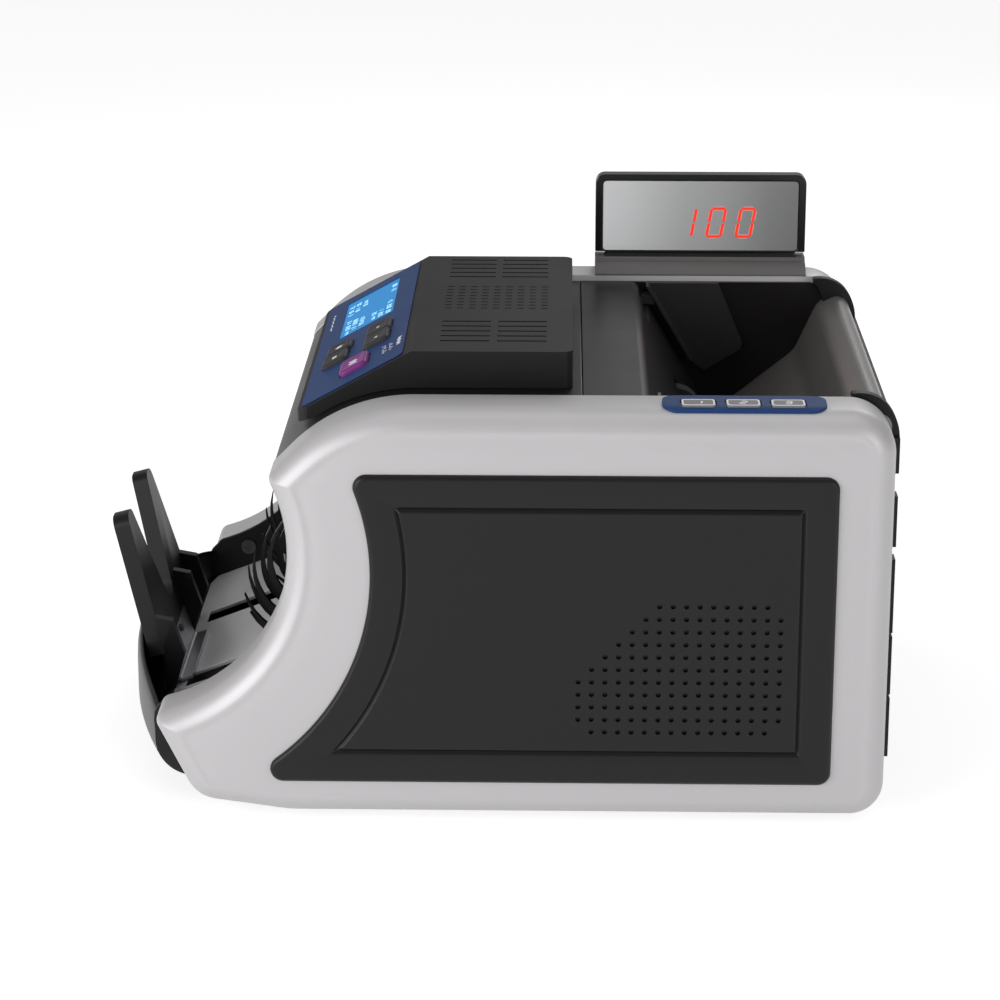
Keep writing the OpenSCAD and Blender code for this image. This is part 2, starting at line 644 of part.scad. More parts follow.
// Side keypad: a thin strip that follows the rail over its rounded edge
strip_x = inner_x + 4;
round_x = face_x - edge_r;
button_x = strip_x + 10.3;
button_rise = 1.5;
button_play = 0.45;
function button_y(i) = strip_y + (i - 1)*button_pitch - 0.5;
function over_edge(r) = arc([round_x, top_z - edge_r], r, 90, 45, 6);
module side_keypad() {
    color([0.12, 0.22, 0.5]) intersection() {
        along_y(strip_y - strip_l, strip_y + strip_l) polygon(concat([[inner_x, top_z], [round_x, top_z]],
            over_edge(edge_r + 0.1), rev(over_edge(edge_r + strip_t)), [[inner_x, top_z + strip_t]]));
        translate([0, 0, top_z - edge_r]) linear_extrude(2*edge_r) difference() {
            polygon(round_rect([strip_x + strip_w/2, strip_y], [strip_w, strip_l], strip_w/2 - 3));
            for (i = [0:2]) polygon(round_rect([button_x, button_y(i)],
                [button_w + 2*key_gap, button_l + 2*key_gap], 1.4));
        }
    }
}
module side_button(i) {
    color([0.72, 0.74, 0.76]) translate([0, 0, top_z + button_play]) linear_extrude(button_rise - button_play)
        polygon(round_rect([button_x, button_y(i)], [button_w, button_l], 1.4));
}
module side_button_front() { side_button(0); }
module side_button_middle() { side_button(1); }
module side_button_rear() { side_button(2); }

// Display on the left-hand rail, hinged along the rail
hinge_x = -body_w/2 + disp_in;
hinge_z = top_z + barrel_r + 0.5;
ear_l = 4;
pin_r = 1.5;
lip_t = 1;
disp_y1 = disp_y + disp_l;
module display_bracket() {
    color([0.12, 0.12, 0.12]) difference() {
        along_y(disp_y, disp_y1) polygon(concat(
            [[hinge_x - barrel_r - 3, top_z], [-inner_x + 0.5, top_z]],
            [for (i = [0:6]) [-inner_x + 0.5 - 8*i/6, top_z + 0.6 + 4.4*sin(15*i)]],
            [[hinge_x + barrel_r + 0.4 + lip_t, top_z + 5.2], [hinge_x + barrel_r + 0.4 + lip_t, hinge_z + 1.4],
             [hinge_x + barrel_r + 0.4, hinge_z + 2], [hinge_x - barrel_r - 0.4, hinge_z + 2],
             [hinge_x - barrel_r - 2.5, hinge_z]]));
        along_y(disp_y + ear_l, disp_y1 - ear_l) {
            translate([hinge_x, hinge_z]) circle(barrel_r + 0.4, $fn = fn);
            translate([hinge_x - barrel_r - 0.6, hinge_z]) square([2*barrel_r + 1.2, barrel_r + 2]);
        }
        along_y(disp_y - 1, disp_y1 + 1) translate([hinge_x, hinge_z]) circle(pin_r, $fn = 32);
    }
}
module display_pin() {
    color([0.7, 0.7, 0.7]) along_y(disp_y, disp_y1) translate([hinge_x, hinge_z]) circle(pin_r - run, $fn = 32);
}
// Upright part with its lower corners stepped up over the ears; its front face carries the window
disp_z0 = hinge_z + 1;
disp_step = 2.8;
disp_z1 = hinge_z + disp_h;
disp_x1 = hinge_x + disp_t/2;
win_m = 3.3;
win_t = 1;
window_y = [disp_y + win_m, disp_y1 - win_m];
window_z = [disp_z0 + 3.4, disp_z1 - 2.8];
window_c = [(window_y[0] + window_y[1])/2, (window_z[0] + window_z[1])/2];
window_v = [window_y[1] - window_y[0], window_z[1] - window_z[0]];
digits_y = [for (i = [0:2]) disp_y + 34.4 + i*digit_pitch];
digits_z = window_c[1] - 2.9;
module display_frame() {
    color([0.06, 0.06, 0.06]) {
        difference() {
            along_x(hinge_x - disp_t/2, disp_x1) polygon(concat(
                [[disp_y, disp_z0 + disp_step], [disp_y + ear_l + seat, disp_z0 + disp_step],
                 [disp_y + ear_l + seat, disp_z0], [disp_y1 - ear_l - seat, disp_z0],
                 [disp_y1 - ear_l - seat, disp_z0 + disp_step], [disp_y1, disp_z0 + disp_step]],
                arc([disp_y1 - 4, disp_z1 - 4], 4, 0, 90, 5),
                arc([disp_y + 4, disp_z1 - 4], 4, 90, 180, 5)));
            along_y(disp_y, disp_y1) translate([hinge_x, hinge_z]) circle(pin_r, $fn = 32);
            along_x(disp_x1 - win_t, disp_x1 + 1) polygon(round_rect(window_c, window_v, 1.6));
            along_x(disp_x1 - win_t - 2.5, disp_x1) polygon(round_rect(window_c, window_v - [4, 4], 1));
        }
        difference() {
            along_y(disp_y + ear_l + seat, disp_y1 - ear_l - seat) {
                translate([hinge_x, hinge_z]) circle(barrel_r, $fn = fn);
                translate([hinge_x - 2.6, hinge_z]) square([5.2, disp_z0 - hinge_z + 0.2]);
            }
            along_y(disp_y, disp_y1) translate([hinge_x, hinge_z]) circle(pin_r, $fn = 32);
        }
    }
}
module display_window() {
    color([0.55, 0.57, 0.6, 0.6]) along_x(disp_x1 - win_t + 0.05, disp_x1 - 0.15)
        polygon(round_rect(window_c, window_v - [0.2, 0.2], 1.5));
}
// Seven-segment modules behind the window, with the lit segments standing on them
digit_w = 8;
digit_lean = 10;
seg_t = 1.5;
function seg_pts(l) = [[0, 0], [seg_t/2, seg_t/2], [l - seg_t/2, seg_t/2], [l, 0], [l - seg_t/2, -seg_t/2],
    [seg_t/2, -seg_t/2]];
// Segment places in digit units: [y, z, turned upright]
segs = [[0, 1, 0], [1, 0.5, 1], [1, 0, 1], [0, 0, 0], [0, 0, 1], [0, 0.5, 1]];
lit = [[1, 2], [0, 1, 2, 3, 4, 5], [0, 1, 2, 3, 4, 5]];
function seg_place(s, p) = let (g = seg_t/2 + 0.15, h = digit_h - seg_t, w = digit_w - seg_t,
    q = s[2] == 1 ? [p[1], p[0] + g] : [p[0] + g, p[1]], y = s[0]*w + q[0], z = s[1]*h + q[1])
    [y + z*tan(digit_lean), z + seg_t/2];
module display_digits() {
    color([0.9, 0.1, 0.08]) for (i = [0:2]) {
        along_x(disp_x1 - win_t - 2.4, disp_x1 - win_t - 0.8)
            translate([digits_y[i] - 2.2, digits_z - digit_h/2 - 0.5]) square([digit_pitch - 0.1, digit_h + 1]);
        for (k = lit[i]) let (s = segs[k], l = s[2] == 1 ? (digit_h - seg_t)/2 - 2*(seg_t/2 + 0.15) + seg_t
            : digit_w - seg_t - 2*(seg_t/2 + 0.15) + seg_t)
            along_x(disp_x1 - win_t - 0.8, disp_x1 - win_t - 0.05)
                translate([digits_y[i], digits_z - digit_h/2])
                    polygon([for (p = seg_pts(l - seg_t)) seg_place(s, p)]);
    }
}

// Hopper: inclined front wall, side liners, and the deck strip behind the seam
wall_top = [hopper_y, deck_z];
wall_v = [wall_lean, -wall_drop];
wall_u = wall_v/norm(wall_v);
wall_n = [-wall_u[1], wall_u[0]];
wall_foot = wall_top + wall_v;
crest_y = rear_reach - 9;
back_path = [[crest_y - 1, top_z + 1.3], [crest_y - 4, top_z + 0.6], [crest_y - 17, top_z - 38],
    [wall_foot[0] + 5, under_z + 99]];
back_bend = [5, 16];
pick_c = wall_top + 40*wall_u + (pick_rise - pick_r)*wall_n;
roller_xs = [-25, 25];
roller_w = 8;
pinion_m = 1;
pinion_r = pinion_teeth*pinion_m/2;
rack_y = [hopper_y - 9, hopper_y - 3];
pinion_z = deck_z - deck_t - 6.4 - pinion_r;
rack_back = 5;
arm_z = [pinion_z + pinion_r + 1.2, pinion_z - pinion_r - rack_back];
arm_h = 3.8;
guide_x = wall_x - 3;
bar_end = 16;
module hopper_walls(x0, x1) {
    along_x(x0, x1) intersection() {
        difference() {
            polygon(side_outline(deck_drop));
            translate(pick_c) circle(bear_r + clear, $fn = fn);
        }
        translate([seam_y, wall_foot[1] - 8]) square([crest_y - seat - seam_y, top_z - wall_foot[1] + 8]);
    }
}
module hopper_front() {
    color([0.13, 0.13, 0.14]) {
        difference() {
            along_x(-wall_x, wall_x) polygon(strip([[seam_y, deck_z], wall_top, wall_foot], [4], 0, -deck_t));
            for (x = roller_xs) box([x - roller_w/2 - 1, pick_c[0] - 20, pick_c[1] - pick_r - 3],
                [x + roller_w/2 + 1, pick_c[0] + 20, pick_c[1] + pick_r + 3]);
            guide_slot(-1, arm_z[0]);
            guide_slot(1, arm_z[1]);
        }
        both_sides() hopper_walls(wall_x, inner_x - 0.05);
        // web and pin that carry the guide pinion, and the ledge under the lower rack
        box([-10, rack_y[0] - 4, pinion_z - pinion_r - rack_back - 2.2],
            [10, rack_y[0] - 2, deck_z - deck_t/2]);
        box([-10, rack_y[0] - 3, pinion_z - pinion_r - rack_back - 2.2],
            [10, rack_y[1], pinion_z - pinion_r - rack_back - seat]);
        along_y(rack_y[0] - 3, rack_y[1]) translate([0, pinion_z]) circle(2.5 - run, $fn = fn);
    }
}
module guide_slot(s, z) {
    x0 = s < 0 ? -guide_x - guide_t - clear : guide_x - guide_travel - 6 - clear;
    box([x0, hopper_y - 8, z - clear],
        [x0 + guide_travel + 6 + guide_t + 2*clear, hopper_y + 30, z + arm_h + clear]);
}
module hopper_back() {
    color([0.09, 0.09, 0.1]) along_x(-wall_x + seat, wall_x - seat)
        polygon(strip(back_path, back_bend, 0, 2.5));
}

// Side guides: plate, folded front flange, arm through the wall, and a toothed rack
pressure = 20;
function inv_pt(rb, t) = rb*[cos(t) + t*PI/180*sin(t), sin(t) - t*PI/180*cos(t)];
function turn(p, a) = [p[0]*cos(a) - p[1]*sin(a), p[0]*sin(a) + p[1]*cos(a)];
function tooth(n, m, slack) = let (r = n*m/2, rb = r*cos(pressure), ra = r + 0.9*m,
    tp = tan(pressure)*180/PI, ta = sqrt(ra*ra/(rb*rb) - 1)*180/PI, half = 90/n - slack/r*180/PI,
    a0 = half + tp - pressure) [for (i = [0:5]) turn(inv_pt(rb, ta*i/5), -a0)];
module gear_2d(n, m) {
    flank = tooth(n, m, 0.12*m);
    circle(n*m/2 - 1.1*m, $fn = 4*n);
    for (i = [0:n - 1]) rotate(360*i/n)
        polygon(concat([[0, 0]], flank, [for (p = rev(flank)) [p[0], -p[1]]]));
}
module guide_pinion() {
    color([0.85, 0.85, 0.82]) along_y(rack_y[0] + 0.5, rack_y[1] - 0.5) translate([0, pinion_z])
        rotate(90) difference() {
            gear_2d(pinion_teeth, pinion_m);
            circle(2.5, $fn = fn);
        }
}
// Rack above the pinion: a bar from x0 to x1 whose teeth are phased to the pinion's top tooth
rack_first = -12;
rack_last = 3;
module rack_bar(x0, x1, phase) {
    m = pinion_m;
    along_y(rack_y[0] + 0.5, rack_y[1] - 0.5) translate([0, pinion_z + pinion_r]) {
        translate([x0, 0.9*m]) square([x1 - x0, rack_back - 0.9*m - 0.2]);
        for (i = [rack_first:rack_last]) translate([(i + phase)*PI*m, 0])
            polygon([[-m, m], [-0.66*m, 0], [-0.34*m, -0.88*m], [0.34*m, -0.88*m], [0.66*m, 0], [m, m]]);
    }
}
function wall_pt(z, off) = [wall_top[0] + (wall_top[1] - z)*wall_lean/wall_drop + off, z];
module guide_plate() {
    z0 = deck_z - 28;
    z1 = deck_z + 0.3;
    along_x(guide_x, guide_x + guide_t) polygon([wall_pt(z1, 4), [hopper_y + 35, z1],
        [hopper_y + 35 + 11, z0 + 2], [hopper_y + 35 + 10, z0 - 1], [hopper_y + 30, wall_foot[1] + 6],
        wall_pt(wall_foot[1] + 9, 4.5)]);
    along_x(guide_x - 7, guide_x) polygon([wall_pt(z1, 4), wall_pt(z1, 5.2),
        wall_pt(wall_foot[1] + 12, 5.2), wall_pt(wall_foot[1] + 12, 4)]);
}
module guide_arm(z) {
    box([guide_x - 6, rack_y[0] + 0.5, z], [guide_x + guide_t, wall_pt(z + arm_h, 5)[0], z + arm_h]);
}
module guide_left() {
    color([0.12, 0.12, 0.13]) {
        mirror([1, 0, 0]) guide_plate();
        mirror([1, 0, 0]) guide_arm(arm_z[0]);
        rack_bar(-guide_x, bar_end, 0.5);
    }
}
module guide_right() {
    color([0.12, 0.12, 0.13]) {
        guide_plate();
        guide_arm(arm_z[1]);
        translate([0, 0, 2*pinion_z]) mirror([0, 0, 1]) mirror([1, 0, 0])
            rack_bar(-guide_x, bar_end, pinion_teeth % 2 == 0 ? 0.5 : 0);
    }
}

// Rear cover: a skin flush with the covers, with a proud top cap and standoff ribs
rear_proud = 3.3;
rear_skin = 3;
cap_z = top_z - 30;
inlet_c = [-(rear_screw_x - 19), under_z + 32];
inlet_v = [28, 21];
switch_c = inlet_c + [34, 0];
switch_v = [13, 19.2];
louvre_n = 6;
louvre_pitch = 9;
rib_x = inner_x - seat;
rib_w = 7;
rib_z = [[under_z + 16, under_z + 40], [under_z + 41.5, under_z + 65], [under_z + 66.5, under_z + 96],
    [under_z + 101, under_z + 121]];
module rear_cover() {
    color([0.07, 0.07, 0.08]) {
        difference() {
            union() {
                along_x(-rib_x, rib_x) intersection() {
                    difference() {
                        polygon(side_outline(0));
                        polygon(side_outline(rear_skin));
                    }
                    translate([rear_reach - rear_skin - 1, base_z + base_t + 0.5]) square([40, cap_z - base_z]);
                }
                along_x(-rib_x, rib_x) intersection() {
                    difference() {
                        polygon(side_outline(-rear_proud));
                        polygon(side_outline(1));
                    }
                    translate([crest_y, cap_z]) square([40, body_h]);
                }
            }
            for (c = [[inlet_c, inlet_v], [switch_c, switch_v]])
                box([c[0][0] - c[1][0]/2, rear_reach - 9, c[0][1] - c[1][1]/2],
                    [c[0][0] + c[1][0]/2, rear_reach + 9, c[0][1] + c[1][1]/2]);
            both_sides() for (z = rear_screw_z) translate([rear_screw_x, rear_reach - 8, z]) rotate([-90, 0, 0])
                cylinder(h = 12, r = rear_screw_r/2 + run, $fn = 24);
            for (i = [0:louvre_n - 1]) box([20, rear_reach - 9, under_z + 44 + louvre_pitch*i],
                [70, rear_reach + 9, under_z + 47 + louvre_pitch*i]);
        }
        both_sides() for (z = rib_z)
            box([rib_x - rib_w, rear_reach - 0.5, z[0]], [rib_x, rear_reach + rear_proud, z[1]]);
    }
}
module cover_screws() {
    color([0.35, 0.35, 0.36]) {
        both_sides() translate([wall_x, bay_screw[0], bay_screw[1]]) rotate([0, -90, 0])
            pan_screw(bay_screw_r, 1.4, 1.8);
        both_sides() for (z = rear_screw_z) translate([rear_screw_x, rear_reach, z])
            rotate([-90, 0, 0]) pan_screw(rear_screw_r, 1.2, rear_skin + 1);
    }
}
// Power inlet and the rocker switch's housing, clipped into the rear cover
inlet_depth = 22;
rocker_y = rear_reach - 5;
rocker_pin_r = 1;
module power_inlet() {
    color([0.05, 0.05, 0.05]) {
        translate([inlet_c[0], 0, inlet_c[1]]) difference() {
            union() {
                translate([0, rear_reach + 0.1, 0]) rotate([90, 0, 0]) linear_extrude(inlet_depth)
                    square(inlet_v - [0.4, 0.4], center = true);
                translate([0, rear_reach + 1.3, 0]) rotate([90, 0, 0]) linear_extrude(1.3)
                    polygon(round_rect([0, 0], inlet_v + [4, 4], 2));
            }
            translate([0, rear_reach + 2, 0]) rotate([90, 0, 0]) linear_extrude(17)
                polygon(round_rect([0, 0], [24, 16], 3));
        }
        for (p = [[-7, 0], [0, 3], [7, 0]]) box([inlet_c[0] + p[0] - 1, rear_reach - 16, inlet_c[1] + p[1] - 2],
            [inlet_c[0] + p[0] + 1, rear_reach - 3, inlet_c[1] + p[1] + 2]);
        difference() {
            union() {
                box([switch_c[0] - switch_v[0]/2 + 0.2, rear_reach - 16, switch_c[1] - switch_v[1]/2 + 0.2],
                    [switch_c[0] + switch_v[0]/2 - 0.2, rear_reach + 0.1, switch_c[1] + switch_v[1]/2 - 0.2]);
                translate([switch_c[0], rear_reach + 1.3, switch_c[1]]) rotate([90, 0, 0]) linear_extrude(1.3)
                    polygon(round_rect([0, 0], switch_v + [3, 3], 1.5));
            }
            box([switch_c[0] - switch_v[0]/2 + 1.4, rear_reach - 14, switch_c[1] - switch_v[1]/2 + 1],
                [switch_c[0] + switch_v[0]/2 - 1.4, rear_reach + 5, switch_c[1] + switch_v[1]/2 - 1]);
        }
        x_rod([rocker_y, switch_c[1]], rocker_pin_r,
            switch_c[0] - switch_v[0]/2 + 1, switch_c[0] + switch_v[0]/2 - 1);
    }
}
// Rocker, resting with its upper end pressed in
module switch_rocker() {
    color([0.03, 0.03, 0.03]) difference() {
        along_x(switch_c[0] - switch_v[0]/2 + 1.8, switch_c[0] + switch_v[0]/2 - 1.8)
            translate([rocker_y, switch_c[1]]) rotate(9)
                polygon([[-2, -3.5], [4, -7.4], [8.6, -6.6], [7.4, 0], [8.6, 6.6], [4, 7.4], [-2, 3.5]]);
        x_rod([rocker_y, switch_c[1]], rocker_pin_r + run, switch_c[0] - 10, switch_c[0] + 10);
    }
}

// Steel frame plates inside the covers, bored for the shaft bearings
feed_c = pick_c + [-4.5, -pick_r - feed_r - 1];
path_z = feed_c[1] - feed_r - path_gap;
wheel_c = [-front_reach + 64, under_z + 62];
nip_y = wheel_c[0] + 50;
nip_z = path_z + path_gap/2;
drive_c = [nip_y, nip_z + drive_r + seat/2];
transfer_c = [nip_y, nip_z - drive_r - seat/2];
motor_c = [52, base_z + base_t + motor_r + 6];
shafts = [pick_c, feed_c, drive_c, transfer_c, wheel_c];
bear_r = shaft_r + 2.5;
hole_ys = [-48, 18, 112];
module frame_plate() {
    along_x(frame_x, frame_x + frame_t) difference() {
        intersection() {
            polygon(side_outline(cover_wall + 1));
            translate([-front_reach + 22, base_z + base_t]) square([front_reach + rear_reach, body_h]);
        }
        for (c = shafts) translate(c) circle(bear_r + run, $fn = fn);
        translate(motor_c) circle(motor_shaft_r + 2, $fn = fn);
        for (y = hole_ys) translate([y, under_z + 34]) circle(11, $fn = fn);
    }
}
module frame_right() { color([0.6, 0.61, 0.63]) frame_plate(); }
module frame_left() { color([0.6, 0.61, 0.63]) mirror([1, 0, 0]) frame_plate(); }
module shaft_bearings() {
    color([0.7, 0.6, 0.3]) both_sides() for (c = shafts) difference() {
        union() {
            x_rod(c, bear_r, frame_x, frame_x + frame_t + 1);
            x_rod(c, bear_r + 1.5, frame_x + frame_t, frame_x + frame_t + 1);
        }
        x_rod(c, shaft_r + run, frame_x - 1, frame_x + frame_t + 2);
    }
}

// Shafts run through both frames; pulleys and gears sit in lanes outside them, -1 left, 1 right
shaft_x = frame_x + frame_t + 2;
lane_0 = frame_x + frame_t + 2.6;
lane = belt_w + 1.2;
function lane_in(i) = lane_0 + lane*i;
module side_rod(side, c, r, x0, x1) {
    mirror([side < 0 ? 1 : 0, 0, 0]) x_rod(c, r, x0, x1);
}
module pulley(side, c, r, i) { side_rod(side, c, r, lane_in(i) + 0.1, lane_in(i) + lane - 0.1); }
// Shaft with l lanes used on the left and r lanes used on the right
module shaft(c, l, r) {
    x_rod(c, shaft_r, l > 0 ? -lane_in(l) : -shaft_x, r > 0 ? lane_in(r) : shaft_x);
}
pick_pr = 8;
feed_pr = 10;
drive_pr = 7;
wheel_pr = 11;
motor_pr = 6;
module pick_shaft() {
    color([0.75, 0.75, 0.77]) { shaft(pick_c, 1, 0); pulley(-1, pick_c, pick_pr, 0); }
}
module feed_shaft() {
    color([0.75, 0.75, 0.77]) {
        shaft(feed_c, 2, 1);
        pulley(-1, feed_c, feed_pr, 0);
        pulley(-1, feed_c, feed_pr + 1, 1);
        pulley(1, feed_c, feed_pr, 0);
    }
}
module roller_set(c, r, xs, w) {
    for (x = xs) difference() {
        x_rod(c, r, x - w/2, x + w/2);
        x_rod(c, shaft_r, x - w, x + w);
    }
}
module pick_rollers() { color([0.12, 0.12, 0.12]) roller_set(pick_c, pick_r, roller_xs, roller_w); }
feed_xs = [-48, -25, 25, 48];
module feed_rollers() { color([0.12, 0.12, 0.12]) roller_set(feed_c, feed_r, feed_xs, 16); }
drive_xs = [-60, 0, 60];
drive_w = 14;
gear_teeth = 18;
gear_m = (drive_c[1] - transfer_c[1])/gear_teeth;
module lane_gear(c, phase) {
    along_x(-lane_in(0) - lane + 0.6, -lane_in(0) - 0.6) translate(c) rotate(90 + phase)
        gear_2d(gear_teeth, gear_m);
}
// Upper nip roller, belt driven, and the lower one that it turns through a gear pair
module drive_roller() {
    color([0.14, 0.14, 0.15]) {
        shaft(drive_c, 1, 1);
        for (x = drive_xs) x_rod(drive_c, drive_r, x - drive_w/2, x + drive_w/2);
        lane_gear(drive_c, 0);
        pulley(1, drive_c, drive_pr, 0);
    }
}
module transfer_roller() {
    color([0.75, 0.75, 0.77]) {
        shaft(transfer_c, 1, 2);
        for (x = drive_xs) x_rod(transfer_c, drive_r, x - drive_w/2, x + drive_w/2);
        lane_gear(transfer_c, 180/gear_teeth);
        pulley(1, transfer_c, drive_pr, 1);
    }
}

// Path plates: wrapped round the feed rollers, then flat to the stacking wheels
path_front = wheel_c[0] + wheel_r + 1;
plate_t = 1.2;
module roller_windows(z0, z1) {
    for (x = drive_xs) box([x - drive_w/2 - 1, drive_c[0] - drive_r - 2, z0],
        [x + drive_w/2 + 1, drive_c[0] + drive_r + 2, z1]);
}
module path_plate_lower() {
    color([0.66, 0.67, 0.69]) difference() {
        along_x(-frame_x, frame_x) polygon(concat(
            arc(feed_c, feed_r + path_gap, 8, -90, 14), [[path_front, path_z], [path_front, path_z - plate_t]],
            arc(feed_c, feed_r + path_gap + plate_t, -90, 8, 14)));
        roller_windows(path_z - 9, path_z + 1);
    }
}
module path_plate_upper() {
    color([0.66, 0.67, 0.69]) difference() {
        along_x(-frame_x, frame_x) polygon([[feed_c[0] - 18, path_z + path_gap],
            [path_front, path_z + path_gap], [path_front, path_z + path_gap + plate_t],
            [feed_c[0] - 18, path_z + path_gap + plate_t]]);
        roller_windows(path_z, path_z + path_gap + 9);
    }
}

// Stacking wheels: curved trailing fingers on a hub, thinning to their tips
hub_r = 11;
finger_sweep = 74;
finger_root = 2.6;
finger_tip = 0.5;
finger_n = 12;
function finger_mid(t) = (hub_r - 2 + (wheel_r - hub_r + 2)*t)*unit(-finger_sweep*t*t);
function finger_pt(i, side) = let (t = i/finger_n, w = min(finger_root, finger_tip + 9*(1 - t)))
    finger_mid(t) + side*w/2*left_n(finger_mid(t + 0.01) - finger_mid(t - 0.01));
function finger_pts() = concat([for (i = [0:finger_n]) finger_pt(i, -1)],
    [for (i = [finger_n:-1:0]) finger_pt(i, 1)]);
module wheel_2d() {
    difference() {
        union() {
            circle(hub_r, $fn = fn);
            for (i = [0:wheel_fingers - 1]) rotate(360*i/wheel_fingers) polygon(finger_pts());
        }
        circle(shaft_r, $fn = fn);
    }
}
module impeller(x) {
    color([0.08, 0.08, 0.08]) along_x(x - wheel_w/2, x + wheel_w/2) translate(wheel_c) wheel_2d();
}
module impeller_left() { impeller(-slot_x); }
module impeller_right() { impeller(slot_x); }
module stacker_shaft() {
    color([0.75, 0.75, 0.77]) { shaft(wheel_c, 0, 2); pulley(1, wheel_c, wheel_pr, 1); }
}

// Main motor on its saddle, with its pulley outside the left-hand frame
motor_shaft_r = 3;
motor_x = -frame_x + 4;
module main_motor() {
    color([0.45, 0.46, 0.48]) {
        difference() {
            x_rod(motor_c, motor_r, motor_x, motor_x + motor_l);
            x_rod(motor_c, motor_shaft_r + run, motor_x - 1, motor_x + 25);
        }
        difference() {
            box([motor_x + 6, motor_c[0] - motor_r*0.7, base_z + base_t],
                [motor_x + motor_l - 6, motor_c[0] + motor_r*0.7, motor_c[1]]);
            x_rod(motor_c, motor_r - 0.5, motor_x - 1, motor_x + motor_l + 1);
        }
    }
}
module motor_pulley() {
    color([0.7, 0.7, 0.72]) {
        x_rod(motor_c, motor_shaft_r, -lane_in(2), motor_x + 24);
        pulley(-1, motor_c, motor_pr, 1);
    }
}

// Belts: flat loops that clear their pulleys by a hair
belt_gap = 0.3;
module belt(side, a, ra, b, rb, i) {
    mirror([side < 0 ? 1 : 0, 0, 0]) along_x(lane_in(i) + 0.6, lane_in(i) + 0.6 + belt_w) difference() {
        hull() {
            translate(a) circle(ra + belt_gap + belt_t, $fn = 32);
            translate(b) circle(rb + belt_gap + belt_t, $fn = 32);
        }
        hull() {
            translate(a) circle(ra + belt_gap, $fn = 32);
            translate(b) circle(rb + belt_gap, $fn = 32);
        }
    }
}
module drive_belts() {
    color([0.06, 0.06, 0.06]) {
        belt(-1, pick_c, pick_pr, feed_c, feed_pr, 0);
        belt(-1, feed_c, feed_pr + 1, motor_c, motor_pr, 1);
        belt(1, feed_c, feed_pr, drive_c, drive_pr, 0);
        belt(1, transfer_c, drive_pr, wheel_c, wheel_pr, 1);
    }
}

// Electronics on the base plate
board_z = base_z + base_t + 5;
board_x = [8, wall_x - 11];
board_y = [bay_rear, base_rear - 66];
board_t = 1.6;
post_in = 6;
chip_v = [24, 24, 3];
heatsink_v = [10, 40, 10.4];
cap_r = 5;
cap_h = 14;
module part_block(at, v) { translate([at[0], at[1], board_z + board_t]) cube(v); }
module main_board() {
    color([0.1, 0.4, 0.2]) {
        box([board_x[0], board_y[0], board_z], [board_x[1], board_y[1], board_z + board_t]);
        for (x = [board_x[0] + post_in, board_x[1] - post_in], y = [board_y[0] + post_in, board_y[1] - post_in])
            translate([x, y, base_z + base_t]) cylinder(h = board_z - base_z - base_t, r = 3, $fn = 24);
        part_block([board_x[0] + 12, board_y[0] + 22], chip_v);
        part_block([board_x[0] + 44, board_y[0] + 62], heatsink_v);
        for (i = [0:2]) translate([board_x[1] - 12, board_y[0] + 32 + 20*i, board_z + board_t])
            cylinder(h = cap_h, r = cap_r, $fn = 32);
    }
}
// Transformer: a foot, a block of core and a winding through it
core_c = [48, base_rear - 31];
core_v = [44, 30, 35];
coil_v = [28, 42, 21];
tab_v = [56, 42, 3];
module centred_block(z, v) {
    translate([core_c[0] - v[0]/2, core_c[1] - v[1]/2, base_z + base_t + z]) cube(v);
}
module transformer() {
    color([0.4, 0.33, 0.25]) {
        centred_block(0, tab_v);
        centred_block(tab_v[2], core_v);
        centred_block(tab_v[2] + (core_v[2] - coil_v[2])/2, coil_v);
    }
}

base_plate();
rubber_feet();
side_cover_right();
side_cover_left();
side_panel_right();
side_panel_left();
bay_wall_right();
bay_wall_left();
front_fairing();
stacker_floor();
stop_plate();
stop_bracket();
stop_screw();
cover_screws();
top_cover();
control_housing();
control_overlay();
lcd_window();
key_board();
key_menu();
key_mode();
key_up();
key_down();
key_start();
side_keypad();
side_button_front();
side_button_middle();
side_button_rear();
display_bracket();
display_frame();
display_window();
display_digits();
display_pin();
hopper_front();
hopper_back();
rear_cover();
guide_left();
guide_right();
guide_pinion();
frame_left();
frame_right();
shaft_bearings();
pick_shaft();
pick_rollers();
feed_shaft();
feed_rollers();
drive_roller();
transfer_roller();
path_plate_upper();
path_plate_lower();
stacker_shaft();
impeller_left();
impeller_right();
main_motor();
motor_pulley();
drive_belts();
main_board();
transformer();
power_inlet();
switch_rocker();
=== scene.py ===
# %% [markdown]
# A desktop banknote counter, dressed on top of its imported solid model. The solids already have the
# right sizes and places, so this lesson only gives them what solids lack: smooth skins, rounded
# edges, lit figures and materials. Everything is in metres and in the frame of the solids; shapes
# are worked out in millimetres, because that is how such a machine is drawn, and scaled by MM.

# %% Load the solids
import json
import bmesh
import bpy
import numpy as np
from mathutils import Matrix, Vector
from mathutils.geometry import delaunay_2d_cdt


